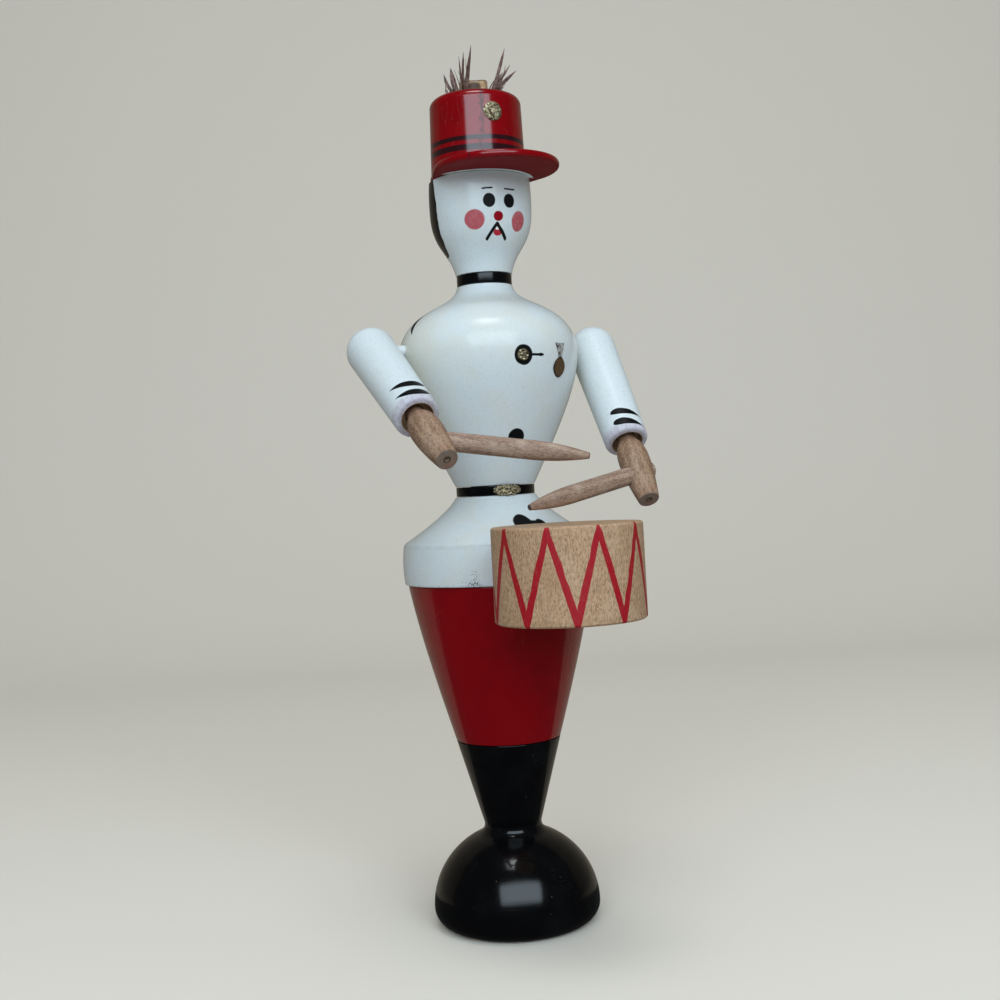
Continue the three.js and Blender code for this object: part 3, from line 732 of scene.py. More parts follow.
# Torso
torsoCut = {
    "waist": 9.82, "chest": (22.25, 32.3), "turn": (12.8, 44.5), "neck": 6.95, "height": 49.6,
    "tenon": 6.0, "neckBore": (4.5, 10.0), "shoulder": 33.65, "pin": (1.6, 9.0),
    # the painted marks lie on arcs of nominal radii
    "buttonArc": 22.1, "button": (0.15, 138.66), "buttonSize": (2.3, 2.45),
    "loop": (5.35, 138.67), "loopHalf": 0.3, "loopEnd": (4.75, 138.67), "loopEndSize": (0.8, 0.4),
    "lowArc": 15.5, "lowButton": (-0.1, 119.66), "lowButtonSize": (2.05, 2.05),
    "epauletArc": 20.0, "epaulet": ((81.0, 145.7), (101.0, 153.5), 1.15),
}


def torsoOutline(shape, low):
    waist = torsoCut["waist"]
    chest, chestHeight = torsoCut["chest"]
    turn, turnHeight = torsoCut["turn"]
    neck = torsoCut["neck"]
    top = torsoCut["height"]
    shape.sweep(
        (between(waist, chest, 0.43), low + chestHeight * 0.33), (chest, low + chestHeight * 0.72),
        (chest, low + chestHeight), 40,
    )
    shape.sweep(
        (chest, low + between(chestHeight, turnHeight, 0.55)),
        (between(chest, turn, 0.52), low + between(chestHeight, turnHeight, 0.82)),
        (turn, low + turnHeight), 26,
    )
    shape.sweep(
        (between(turn, neck, 0.48), low + between(turnHeight, top, 0.27)),
        (between(turn, neck, 0.94), low + between(turnHeight, top, 0.53)), (neck, low + top), 18,
    )
    return shape


def makeTorso():
    low = level["torso"]
    foot = lowOf("torso")
    top = low + torsoCut["height"]
    tenon = torsoCut["tenon"]
    neckBore = torsoCut["neckBore"][0] + boreFit
    neckFloor = top - torsoCut["neckBore"][1] - boreSpare
    shape = Profile(0, foot).line((tenon, foot), (tenon, low), (torsoCut["waist"], low))
    torsoOutline(shape, low)
    shape.line((neckBore, top), (neckBore, neckFloor), (0, neckFloor)).eased(0.25)

    # two buttons, the loop of the upper one, and a dark stroke over each shoulder
    def paint(finish, vector, colour, shine):
        angle, height = finish.around(vector)
        wobble = finish.noise(vector, 0.45, 2.0) - 0.5
        arc = angle * math.radians(torsoCut["buttonArc"]) + wobble * 0.25
        lowArc = angle * math.radians(torsoCut["lowArc"]) + wobble * 0.3
        lift = height + wobble * 0.25
        start, end, half = torsoCut["epaulet"]
        perDeg = math.radians(torsoCut["epauletArc"])
        sideArc = (abs(angle) - start[0]) * perDeg
        reach = (end[0] - start[0]) * perDeg
        black = union(
            spot(arc, lift, torsoCut["button"], torsoCut["buttonSize"], 0.05),
            stroke(arc, lift, torsoCut["button"], torsoCut["loop"], torsoCut["loopHalf"]),
            spot(arc, lift, torsoCut["loopEnd"], torsoCut["loopEndSize"]),
            spot(lowArc, lift, torsoCut["lowButton"], torsoCut["lowButtonSize"], 0.05),
            leaf(sideArc, lift, (0.0, start[1]), (reach, end[1]), half, 1.0, 0.5),
        )
        colour = finish.mix(colour, lacquerLook["black"], black)
        # the lacquer has yellowed in patches, and the sides under the arms take a warm painted shade
        patches = band(height, low + 30, low + 49, 6.0) * finish.noise(vector, 0.07, 1.0).rise(0.4, 0.65)
        # painted shade: warm ivory at the sides, between the body and the arms
        sides = band(height, low + 16, low + 40, 7.0) * abs(angle).rise(38, 82) * abs(angle).fall(92, 130)
        yellowingAndSideShade = (patches * 0.2 + sides * 0.5).least(1.0) * (1.0 - black)
        return finish.mix(colour, lacquerLook["ivory"], yellowingAndSideShade), shine + black * 0.5

    piece = turned("torsoVase", shape, makeWhite("torsoLacquer", None, paint))
    chest = torsoCut["chest"][0]
    pin, depth = torsoCut["pin"]
    shoulder = Matrix.Translation((0, 0, (low + torsoCut["shoulder"]) * mm))
    for side in (-1, 1):
        across = shoulder @ Matrix.Rotation(side * math.pi / 2, 4, "Y")
        bored(piece, across, pin + boreFit, chest - depth - boreSpare, chest + drillPast)
    seat(piece, "torso", "figure")


# Head, with the painted face on arcs of a nominal radius
headCut = {
    "chin": 7.0, "cheek": (12.7, 15.8), "temple": 12.85, "brow": 12.55, "height": 23.4,
    "tenon": 4.5, "hatBore": (3.0, 7.5),
}
# places are degrees from the front and heights in mm
faceLook = {
    "radius": 12.4,
    "eyes": [(-11.7, 177.0), (11.9, 176.95)],
    "eyeSize": (1.48, 1.7),
    "brow": [((-18.6, 179.85), (-8.0, 180.0)), ((6.9, 179.8), (19.0, 179.75))],
    "browHalf": 0.2,
    "cheeks": [((-29.1, 172.6), (2.5, 2.36)), ((26.2, 172.35), (2.25, 2.4))],
    "nose": (-1.65, 173.22),
    "noseSize": (1.2, 1.2),
    "moustache": [((-3.0, 171.5), (-15.0, 168.1)), ((-3.0, 171.5), (10.7, 168.15))],
    "moustacheHalf": 0.4,
    "mouth": (-1.1, 169.6),
    "mouthSize": (1.3, 0.8),
    "teeth": (-2.2, 170.55),
    "teethSize": (0.52, 0.48),
    "hairDeg": 79.0,
    "hairFoot": 165.6,
    # the height that the hair's edge bends from, and how much it bends below and above
    "hairBend": (173.0, 0.21, 0.05),
    "pink": tone(182, 84, 91),
    "lip": tone(180, 44, 56),
    "noseRed": tone(142, 12, 26),
    "ink": tone(14, 14, 15),
    "toothWhite": tone(240, 236, 230),
}


def makeHead():
    low = level["head"]
    foot = lowOf("head")
    top = low + headCut["height"]
    cheek, cheekHeight = headCut["cheek"]
    chin = headCut["chin"]
    hatBore = headCut["hatBore"][0] + boreFit
    hatFloor = top - headCut["hatBore"][1] - boreSpare
    tenon = headCut["tenon"]
    shape = Profile(0, foot).line((tenon, foot), (tenon, low), (chin, low))
    shape.sweep(
        (between(chin, cheek, 0.22), low + cheekHeight * 0.41),
        (between(chin, cheek, 0.98), low + cheekHeight * 0.44), (cheek, low + cheekHeight), 36,
    )
    temple = (headCut["temple"], low + between(cheekHeight, headCut["height"], 0.5))
    shape.bend(temple, (headCut["brow"], top), 16)
    shape.line((hatBore, top), (hatBore, hatFloor), (0, hatFloor)).eased(0.2)

    def paint(finish, vector, colour, shine):
        look = faceLook
        angle, height = finish.around(vector)
        perDeg = math.radians(look["radius"])
        wobble = finish.noise(vector, 0.8, 2.0) - 0.5
        u = angle * perDeg + wobble * 0.18
        v = height + wobble * 0.18
        brushed = 0.86 + finish.noise(vector, 0.8, 2.0) * 0.2

        # from degrees round the head to mm
        def at(place):
            return place[0] * perDeg, place[1]

        for place, size in look["cheeks"]:
            cheekMask = spot(u, v, at(place), size, 0.06)
            colour = finish.mix(colour, look["pink"], (cheekMask * brushed).least(1.0))
        dabs = (("nose", "noseRed", 0.08), ("mouth", "lip", 0.15), ("teeth", "toothWhite", 0.15))
        for key, tint, soft in dabs:
            colour = finish.mix(colour, look[tint], spot(u, v, at(look[key]), look[key + "Size"], soft))
        marks = [spot(u, v, at(place), look["eyeSize"], 0.06) for place in look["eyes"]]
        for key in ("brow", "moustache"):
            marks += [stroke(u, v, at(start), at(end), look[key + "Half"]) for start, end in look[key]]
        ink = union(*marks)
        wave = finish.noise(vector, 0.25, 2.0) - 0.5
        bendFrom, under, over = look["hairBend"]
        below = (bendFrom - height).most(0.0)
        above = (height - bendFrom).most(0.0)
        hair = abs(angle) + wave * 6.0 - below * below * under - above * above * over
        hair = hair.rise(look["hairDeg"] - 0.4, look["hairDeg"] + 0.4)
        hair = hair * (height + wave * 0.8).rise(look["hairFoot"] - 0.1, look["hairFoot"] + 0.1)
        colour = finish.mix(colour, look["ink"], ink.most(hair))
        return colour, shine + ink * 0.4

    piece = turned("headTurned", shape, makeWhite("headLacquer", None, paint, 0.15, 0.17))
    seat(piece, "head", "figure")


# Hat
visorCut = {
    "thickness": 1.8, "edge": 0.62, "back": 12.1, "round": 15.3, "forward": 10.5, "corner": (13.0, 1.0),
    "endDeg": 5.0, "turnDeg": 3.0, "bore": 3.15, "boreSides": 48, "fillet": 13.75,
    # the under tone is painted shade, a deep red for the plate's underside
    "under": tone(118, 6, 12), "chip": tone(44, 8, 12),
}


def visorOutline():
    endRad = math.radians(visorCut["endDeg"])
    cornerX, cornerY = visorCut["corner"]
    depth = visorCut["forward"] - cornerY
    tangent = math.atan2(depth, cornerX) - math.acos(visorCut["round"] / math.hypot(cornerX, depth))
    points = []
    for i in range(49):
        turn = endRad + (math.pi - 2 * endRad) * i / 48
        points.append(visorCut["back"] * Vector((math.cos(turn), math.sin(turn))))
    points.append(Vector((-cornerX, -cornerY)))
    for i in range(73):
        turn = math.pi - tangent + (math.pi + 2 * tangent) * i / 72
        reach = visorCut["round"] * Vector((math.cos(turn), math.sin(turn)))
        points.append(Vector((0, -visorCut["forward"])) + reach)
    points.append(Vector((cornerX, -cornerY)))
    return points


# resampled evenly, with its corners rounded a little
def softLoop(points, count, passes):
    lengths = [0.0]
    ring = points + [points[0]]
    for a, b in zip(ring, ring[1:]):
        lengths.append(lengths[-1] + (b - a).length)
    even = []
    step = 0
    for i in range(count):
        want = lengths[-1] * i / count
        while lengths[step + 1] < want:
            step += 1
        share = (want - lengths[step]) / max(lengths[step + 1] - lengths[step], 1e-9)
        even.append(ring[step].lerp(ring[step + 1], share))
    for _ in range(passes):
        even = [(even[i - 1] + even[i] * 2 + even[(i + 1) % count]) / 4 for i in range(count)]
    return even


def makeVisor():
    loop = softLoop(visorOutline(), 320, 3)
    count = len(loop)
    turn = Matrix.Rotation(math.radians(visorCut["turnDeg"]), 2)
    half = visorCut["thickness"] / 2
    middle = level["visor"] + half
    edge = visorCut["edge"]
    shape = bmesh.new()
    rings = []
    for k in range(11):
        lean = math.radians(-90 + 18 * k)
        ring = []
        for i, point in enumerate(loop):
            along = loop[(i + 1) % count] - loop[i - 1]
            inward = Vector((-along.y, along.x)).normalized()
            flat = turn @ (point + inward * edge * (1 - math.cos(lean)))
            ring.append(shape.verts.new((flat.x * mm, flat.y * mm, (middle + half * math.sin(lean)) * mm)))
        rings.append(ring)
    for lower, upper in zip(rings, rings[1:]):
        for i in range(count):
            j = (i + 1) % count
            shape.faces.new((lower[i], lower[j], upper[j], upper[i]))
    # the plate's two faces, round the dowel's hole
    sides = visorCut["boreSides"]
    holes = []
    for height in (middle - half, middle + half):
        hole = []
        for i in range(sides):
            at = 2 * math.pi * i / sides
            flat = visorCut["bore"] * Vector((math.cos(at), math.sin(at)))
            hole.append(shape.verts.new((flat.x * mm, flat.y * mm, height * mm)))
        holes.append(hole)
    for ring, hole in ((rings[0], holes[0]), (rings[-1], holes[1])):
        edges = [shape.edges.get((ring[i - 1], ring[i])) for i in range(count)]
        edges += [shape.edges.new((hole[i - 1], hole[i])) for i in range(sides)]
        bmesh.ops.triangle_fill(shape, use_beauty=True, edges=edges)
    for i in range(sides):
        shape.faces.new((holes[0][i - 1], holes[0][i], holes[1][i], holes[1][i - 1]))

    # white fillet under it round the front of the head, chips along its rim, and the underside darkened to a
    # deep red as painted shade
    def paint(finish, vector, colour, shine):
        x, y, z = finish.split(vector)
        under = z.fall(middle - 0.5, middle - 0.3)
        wave = finish.noise(vector, 0.35, 2.0)
        reach = visorCut["fillet"]
        fillet = (finish.fromAxis(vector) + wave * 0.5).fall(reach, reach + 0.2) * under * y.fall(-7.0, -5.5)
        ahead = y + visorCut["forward"]
        rim = (x * x + ahead * ahead).root().rise(visorCut["round"] - 1.1, visorCut["round"] - 0.5)
        chips = rim * finish.noise(vector, 0.55, 3.0, 0.6).rise(0.63, 0.66)
        # painted shade: the underside is darkened to a deep red
        colour = finish.mix(colour, visorCut["under"], under * 0.85)
        colour = finish.mix(colour, visorCut["chip"], chips)
        colour = finish.mix(colour, lacquerLook["white"], fillet)
        finish.feed(coatWeight=0.5 - under * 0.5)
        return colour, shine + chips * 0.3 + under * 0.5

    piece = newObject("visorPlate", tidyMesh(shapeMesh("visorPlate", shape), 50.0))
    piece.data.materials.append(makeRed("visorLacquer", paint).material)
    seat(piece, "hat_visor", "figure")


crownCut = {
    "foot": 11.8, "top": 11.4, "edge": 2.2, "dowel": (3.0, 7.5), "plugBore": (3.4, 6.0),
    "stripes": [(5.85, 7.0), (3.4, 4.85)], "stripeTone": tone(34, 18, 22),
    # the split runs up an arc of a nominal radius, between these two angles
    "splitArc": 11.6, "splitDeg": (-13.5, -17.0), "splitTone": tone(76, 6, 22),
}


def makeCrown():
    low = level["crown"]
    top = level["crownTop"]
    dowel = crownCut["dowel"][0] + boreFit
    dowelTop = low + crownCut["dowel"][1] + boreSpare
    plug = crownCut["plugBore"][0] + boreFit
    plugFloor = top - crownCut["plugBore"][1] - boreSpare
    edge = crownCut["edge"]
    shape = Profile(0, dowelTop).line((dowel, dowelTop), (dowel, low), (crownCut["foot"], low))
    for i in range(1, 25):
        shape.line((between(crownCut["foot"], crownCut["top"], i / 24), between(low, top - edge, i / 24)))
    shape.arc((crownCut["top"] - edge, top - edge), (edge, edge), 0, 90, 14)
    shape.line((plug, top), (plug, plugFloor), (0, plugFloor)).eased(0.15)

    # two black stripes, a split that runs up the lacquer with chips beside it, and crazing
    def paint(finish, vector, colour, shine):
        angle, height = finish.around(vector)
        wave = finish.noise(vector, 0.12, 1.0) - 0.5
        lift = height - low + wave * 0.5
        stripe = union(*(band(lift, under, over) for under, over in crownCut["stripes"]))
        colour = finish.mix(colour, crownCut["stripeTone"], stripe * 0.94)
        first, last = crownCut["splitDeg"]
        jag = finish.noise(finish.stretch(vector, 0.1, 0.1, 1.0), 0.55, 4.0, 0.75) - 0.5
        line = last + (height - low) * ((first - last) / (top - low))
        side = (angle - line) * math.radians(crownCut["splitArc"])
        off = abs(side + jag * 2.4)
        split = off.fall(0.05, 0.14) * finish.noise(vector, 0.5, 2.0).rise(0.36, 0.44)
        flake = finish.node(
            "ShaderNodeTexVoronoi", {"feature": "DISTANCE_TO_EDGE"},
            {"Vector": finish.stretch(vector, 1.0, 1.0, 0.7), "Scale": 0.62},
        )
        split = split.most(flake.fall(0.03, 0.08) * abs(side + jag).fall(0.55, 0.95))
        chips = off.fall(0.1, 0.7) * finish.noise(vector, 1.7, 3.0, 0.7).rise(0.58, 0.61)
        craze = finish.noise(finish.stretch(vector, 1.0, 1.0, 0.2), 0.5, 3.0, 0.6)
        craze = abs(craze - 0.5).fall(0.0015, 0.005) * finish.noise(vector, 0.2, 1.0).rise(0.5, 0.6)
        colour = finish.mix(colour, crownCut["splitTone"], (split + chips * 0.8 + craze * 0.4).least(1.0))
        return colour, shine + (split + chips).least(1.0) * 0.25

    piece = turned("crownTurned", shape, makeRed("crownLacquer", paint))
    seat(piece, "hat_crown", "figure")


# Plume
plugCut = {
    "radius": 3.4, "depth": 6.0, "edge": 0.6, "cavity": (2.1, 2.4), "dip": 0.14, "dipDeg": -20.0,
    # the dark tone is painted shade in the hollow and in the front gap, and the split rim and glue
    "dark": tone(62, 42, 32),
}
plugWood = wood((206, 176, 138), (178, 142, 104), (104, 72, 52), (222, 198, 162))
plumeLook = {
    "bead": (3.55, 0.9, 1.0), "root": 4.0, "sink": 0.4, "seed": 11, "flat": 0.3,
    "longest": 13.2, "widest": 2.3,
    # place round the plug, lean and sway in degrees, length and width as shares, curl outwards
    "quills": [
        (178, 15, 0, 0.56, 1.0, 0.5), (165, 29, 0, 0.53, 0.35, 1.2), (108, 6.5, 0, 0.92, 0.29, 0.2),
        (203, 0, 5.5, 0.8, 0.35, 0.2), (213.5, 0, 12, 0.91, 0.82, -0.3), (-12, 19, 0, 1.0, 0.65, 0.3),
        (10, 28, 0, 0.53, 0.35, 0.9), (-25, 30, 0, 0.52, 0.35, -0.9), (2, 41, 0, 0.61, 0.35, 0.6),
        (-36, 52, 0, 0.67, 0.71, -0.2), (-46, 43, 0, 0.68, 0.29, 0.4), (70, 20, 0, 0.48, 0.53, 0.5),
    ],
    "fibres": 52, "tipShare": 0.26, "steps": 14, "fibreSteps": 8,
    # strands of a wide quill: place across it, width and length as shares, spread outwards in degrees
    "strands": [(-0.28, 0.5, 0.9, -2.5), (0.02, 0.55, 1.0, 0.0), (0.3, 0.45, 0.84, 3.5)], "splitFrom": 0.6,
}


def makePlug():
    low = level["crownTop"]
    top = highOf("plume_plug")
    radius = plugCut["radius"]
    inner, depth = plugCut["cavity"]
    foot = low - plugCut["depth"]
    edge = plugCut["edge"]
    shape = Profile(0, foot).line((radius, foot), (radius, top - edge))
    shape.bend((radius, top), (radius - edge, top), 8)
    shape.line((inner, top), (inner - 0.3, top - depth), (0, top - depth)).eased(0.25)

    # dark on the rim, where the plug has split, and in the hollow as painted shade; the dark gap at its front
    # is glue with painted shade
    def paint(finish, vector, colour, shine):
        angle, height = finish.around(vector)
        fromDip = angle - plugCut["dipDeg"]
        # painted shade: the hollow is darkened
        hollowShade = finish.fromAxis(vector).fall(inner - 0.05, inner + 0.25) * height.rise(low, low + 0.5)
        worn = ((fromDip * math.radians(2)).maths("COSINE") * 0.5 + 0.5) * plugCut["dip"]
        lift = (height - low) / (1.0 - worn) + low
        rim = lift.rise(top - 0.6, top - 0.25) * finish.noise(vector, 0.7, 3.0).rise(0.3, 0.45)
        glue = height.fall(low + 0.6, low + 2.2) * finish.noise(vector, 0.6, 2.0).rise(0.4, 0.6)
        # glue with painted shade: a dark gap at the front foot
        mouth = spot(fromDip * math.radians(radius), height, (0.0, low + 2.5), (1.7, 1.0), 0.3)
        dark = (hollowShade + rim * 0.85 + glue * 0.5).least(1.0).most(mouth * 0.9)
        return finish.mix(colour, plugCut["dark"], dark), shine

    piece = turned("plumePlug", shape, makeBeech("plugWood", None, paint, 0.8, 1.2, plugWood), 96)
    # its rim is worn low before and behind
    for corner in piece.data.vertices:
        rise = corner.co.z - low * mm
        if rise > 0:
            turn = math.atan2(corner.co.x, -corner.co.y) - math.radians(plugCut["dipDeg"])
            corner.co.z -= rise * plugCut["dip"] * (0.5 + 0.5 * math.cos(2 * turn))
    seat(piece, "plume_plug", "figure")


quillLook = {
    "dark": tone(66, 44, 40), "light": tone(146, 112, 98),
    "pale": tone(172, 146, 130), "tip": tone(84, 46, 42),
}


def makeQuillFinish():
    finish = Finish("quillHorn", specularIorLevel=0.4)
    vector = finish.coords()
    fibre = finish.noise(finish.stretch(vector, 4.0, 4.0, 0.5), 1.0, 3.0, 0.6)
    patch = finish.noise(vector, 0.5, 2.0)
    tip = finish.split(vector)[2].rise(level["crownTop"] + 3.0, level["crownTop"] + 11.0)
    colour = finish.mix(quillLook["dark"], quillLook["light"], fibre.rise(0.4, 0.68))
    colour = finish.mix(colour, quillLook["pale"], patch.rise(0.5, 0.7) * 0.5)
    colour = finish.mix(colour, quillLook["tip"], tip * 0.45)
    finish.feed(baseColor=colour, roughness=0.42 + fibre * 0.25)
    finish.bump(fibre, 0.35, 0.1)
    return finish


# points, half widths and outward directions along one blade, in mm
def quillPath(around, lean, sway, length, width, curl, steps, root, across=0.0):
    turn = Matrix.Rotation(math.radians(around), 3, "Z")
    swayed = Matrix.Rotation(-math.radians(sway), 3, "X")
    aim = Matrix.Rotation(math.radians(lean), 3, "Y") @ swayed @ Vector((0, 0, 1))
    points = []
    for i in range(steps + 1):
        t = i / steps
        point = Vector((root, across, plumeLook["sink"])) + aim * length * t
        point.x += curl * math.sin(math.pi * t) * 0.6
        taper = min(1.0, (1 - t) / plumeLook["tipShare"]) ** 0.7
        half = width / 2 * taper * (0.8 + 0.2 * math.sin(math.pi * t))
        points.append((turn @ point, max(half, 0.05), turn @ Vector((aim.z, 0, -aim.x))))
    return points


def makePlume():
    low = lowOf("plume")
    root = plumeLook["root"]
    steps = plumeLook["steps"]
    chance = random.Random(plumeLook["seed"])
    boxLow, boxHigh = (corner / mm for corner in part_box("plume"))
    paths = []
    for around, lean, sway, length, width, curl in plumeLook["quills"]:
        full = length * plumeLook["longest"]
        wide = width * plumeLook["widest"]
        if width < plumeLook["splitFrom"]:
            paths.append(quillPath(around, lean, sway, full, wide, curl, steps, root))
            continue
        for across, share, reach, spread in plumeLook["strands"]:
            paths.append(quillPath(
                around, lean, sway - spread, full * reach, wide * share, curl, steps, root, across * wide,
            ))
    # thin fibres that have split off the quills
    for _ in range(plumeLook["fibres"]):
        around, lean, sway, length, _, curl = chance.choice(plumeLook["quills"])
        paths.append(quillPath(
            around + chance.uniform(-14, 14), lean + chance.uniform(-3, 12), sway + chance.uniform(-6, 6),
            length * plumeLook["longest"] * chance.uniform(0.35, 0.75), chance.uniform(0.18, 0.36),
            curl + chance.uniform(-1.6, 1.6), plumeLook["fibreSteps"], root + chance.uniform(-0.15, 0.3),
        ))
    points = []
    widths = []
    facings = []
    edges = []
    for path in paths:
        first = len(points)
        for flat, half, facing in path:
            lifted = (flat.x, flat.y, flat.z + low)
            held = Vector(max(boxLow[k], min(boxHigh[k], lifted[k])) for k in range(3))
            points.append(held * mm)
            widths.append(half * mm)
            facings.extend(facing)
        edges += [(k, k + 1) for k in range(first, len(points) - 1)]
    mesh = bpy.data.meshes.new("quillPaths")
    mesh.from_pydata(points, edges, [])
    mesh.attributes.new("halfWidth", "FLOAT", "POINT").data.foreach_set("value", widths)
    mesh.attributes.new("facing", "FLOAT_VECTOR", "POINT").data.foreach_set("vector", facings)
    finish = makeQuillFinish()
    piece = treeObject(
        "plumeTuft", bladeTree, mesh, Sides=8, Flatness=plumeLook["flat"], Finish=finish.material,
    )

    # the ring of glue that the quills stand in, lumpy on top
    inner, wide, tall = plumeLook["bead"]
    ring = Profile(inner, low).line((inner + wide, low))
    ring.bend((inner + wide, low + tall), (inner + wide * 0.45, low + tall), 8)
    ring.bend((inner, low + tall), (inner, low), 8)
    bead = turned("glueBead", ring, finish, 96)
    for corner in bead.data.vertices:
        lump = 0.5 + 0.3 * math.sin(corner.co.x / mm * 3.1) + 0.2 * math.sin(corner.co.y / mm * 4.3)
        corner.co.z = low * mm + (corner.co.z - low * mm) * (0.55 + 0.45 * lump)
    shape = bmesh.new()
    shape.from_mesh(piece.data)
    shape.from_mesh(bead.data)
    shape.to_mesh(piece.data)
    shape.free()
    bpy.data.objects.remove(bead)
    seat(piece, "plume", "figure")


# Foils: thin pressed patches that lie on a turned surface
foilLook = {
    "lift": 0.06, "thick": 0.3,
    "gold": tone(212, 198, 162), "brown": tone(70, 52, 30),
    "silver": tone(222, 220, 214), "dull": tone(112, 105, 100), "edge": tone(44, 48, 46),
    "bronze": tone(112, 84, 52), "bronzeDark": tone(46, 36, 26),
}


def makeFoil(name, light, dark, paint=None, metallic=0.85):
    finish = Finish(name, metallic=metallic)
    vector = finish.coords()
    grain = finish.noise(vector, 2.1, 3.0, 0.6)
    fine = finish.noise(vector, 5.0, 2.0, 0.6)
    pressed = (grain * 0.7 + fine * 0.3).rise(0.44, 0.56)
    colour = finish.mix(dark, light, pressed)
    shine = 0.24 + fine * 0.25
    if paint is not None:
        colour, shine = paint(finish, vector, colour, shine)
    finish.feed(baseColor=colour, roughness=shine)
    finish.bump(pressed, 0.5, 0.14)
    return finish


# rings of points from the middle out to a rim given by angle, on a surface given by height
def foilDisc(shape, centre, rim, surface, turnDeg, rings=14, spokes=72):
    def point(u, v, height):
        radius = surface(v) + foilLook["lift"]
        turn = u / radius + math.radians(turnDeg)
        away = radius + height
        return (away * math.sin(turn) * mm, -away * math.cos(turn) * mm, v * mm)

    def layer(height):
        made = []
        for r in range(1, rings + 1):
            share = r / rings
            ring = []
            for s in range(spokes):
                at = 2 * math.pi * s / spokes
                reach = rim(at) * share
                u = reach * math.cos(at)
                v = centre + reach * math.sin(at)
                ring.append(shape.verts.new(point(u, v, height(u, v - centre, share))))
            made.append(ring)
        return shape.verts.new(point(0, centre, height(0, 0, 0))), made

    over = layer(lambda u, v, share: foilLook["thick"] * pressedGrain(u, v, share))
    under = layer(lambda u, v, share: 0.0)
    for (hub, made), flip in ((over, False), (under, True)):
        for s in range(spokes):
            t = (s + 1) % spokes
            fan = (hub, made[0][s], made[0][t])
            shape.faces.new(fan[::-1] if flip else fan)
            for inner, outer in zip(made, made[1:]):
                quad = (inner[s], outer[s], outer[t], inner[t])
                shape.faces.new(quad[::-1] if flip else quad)
    for s in range(spokes):
        t = (s + 1) % spokes
        shape.faces.new((over[1][-1][s], under[1][-1][s], under[1][-1][t], over[1][-1][t]))


# rounded edge, raised rim and a pressed grain
def pressedGrain(u, v, share):
    edge = 1 - max(0.0, share - 0.86) / 0.14 * 0.6
    rim = 0.22 * math.exp(-((share - 0.8) / 0.07) ** 2)
    grain = 0.16 * math.sin(u * 5.3 + 1.7 * math.sin(v * 3.1)) * math.sin(v * 4.7 + 1.3 * math.sin(u * 2.9))
    return min(1.0, (0.66 + rim + grain * min(1, (1 - share) * 6)) * edge)


def foilObject(name, shape, finish, node):
    piece = newObject(name, tidyMesh(shapeMesh(name, shape), 60.0, weld / 4))
    piece.data.materials.append(finish.material)
    seat(piece, node, "figure")


def surfaceOf(points):
    pairs = sorted((height, radius) for radius, height in points)

    def radiusAt(height):
        for (lowZ, lowR), (highZ, highR) in zip(pairs, pairs[1:]):
            if lowZ <= height <= highZ:
                return lowR + (highR - lowR) * (height - lowZ) / max(highZ - lowZ, 1e-9)
        return pairs[0][1] if height < pairs[0][0] else pairs[-1][1]

    return radiusAt


badgeCut = {"radius": 2.35, "height": 12.6}
buttonCut = {"radius": 1.4, "height": 30.2}
buckleCut = {"width": 7.0, "height": 3.1, "turnDeg": -5.0}
medalCut = {"radius": 2.4, "height": 27.4, "turnDeg": 29.0, "arc": 22.3, "ribbon": (3.4, 1.3, 3.6)}


# an oval with a bump over and under its middle and smaller ones beside them
def buckleRim(at):
    longHalf = buckleCut["width"] / 2
    tallHalf = buckleCut["height"] / 2
    bump = tallHalf * 0.4
    best = 0.0
    for k in range(200):
        reach = longHalf * k / 199
        x = abs(reach * math.cos(at))
        y = abs(reach * math.sin(at))
        oval = (x / longHalf) ** 2.6 + (y / (tallHalf * 0.8)) ** 2.6 <= 1
        middle = math.hypot(x, y - tallHalf + bump) <= bump
        beside = math.hypot(x - longHalf * 0.49, y - tallHalf * 0.48) <= bump
        if oval or middle or beside:
            best = reach
    return best


# a little pointed above and below
def medalRim(at):
    wide = abs(math.cos(at) / 0.93) ** 1.75
    tall = abs(math.sin(at)) ** 1.75
    return medalCut["radius"] * (wide + tall) ** (-1 / 1.75)


def makeFoils():
    crownEdge = level["crownTop"] - crownCut["edge"]
    crownFace = surfaceOf([(crownCut["foot"], level["crown"]), (crownCut["top"], crownEdge)])
    torsoFace = surfaceOf(torsoOutline(Profile(torsoCut["waist"], level["torso"]), level["torso"]).points)
    beltFace = max(bandCut["belt"], torsoCut["waist"], skirtCut["top"]) + foilLook["thick"]
    beltMiddle = (lowOf("waist_belt") + highOf("waist_belt")) / 2
    gold = makeFoil("goldFoil", foilLook["gold"], foilLook["brown"])

    def goldDisc(name, node, *disc):
        shape = bmesh.new()
        foilDisc(shape, *disc)
        foilObject(name, shape, gold, node)

    badgeAt = level["crown"] + badgeCut["height"]
    buttonAt = level["torso"] + buttonCut["height"]
    goldDisc("badgeFoil", "hat_badge", badgeAt, lambda at: badgeCut["radius"], crownFace, 0)
    goldDisc("buttonFoil", "chest_button", buttonAt, lambda at: buttonCut["radius"], torsoFace, 0)
    goldDisc(
        "buckleFoil", "belt_buckle", beltMiddle, buckleRim, lambda v: beltFace, buckleCut["turnDeg"], 12, 120,
    )
    makeMedal(torsoFace)


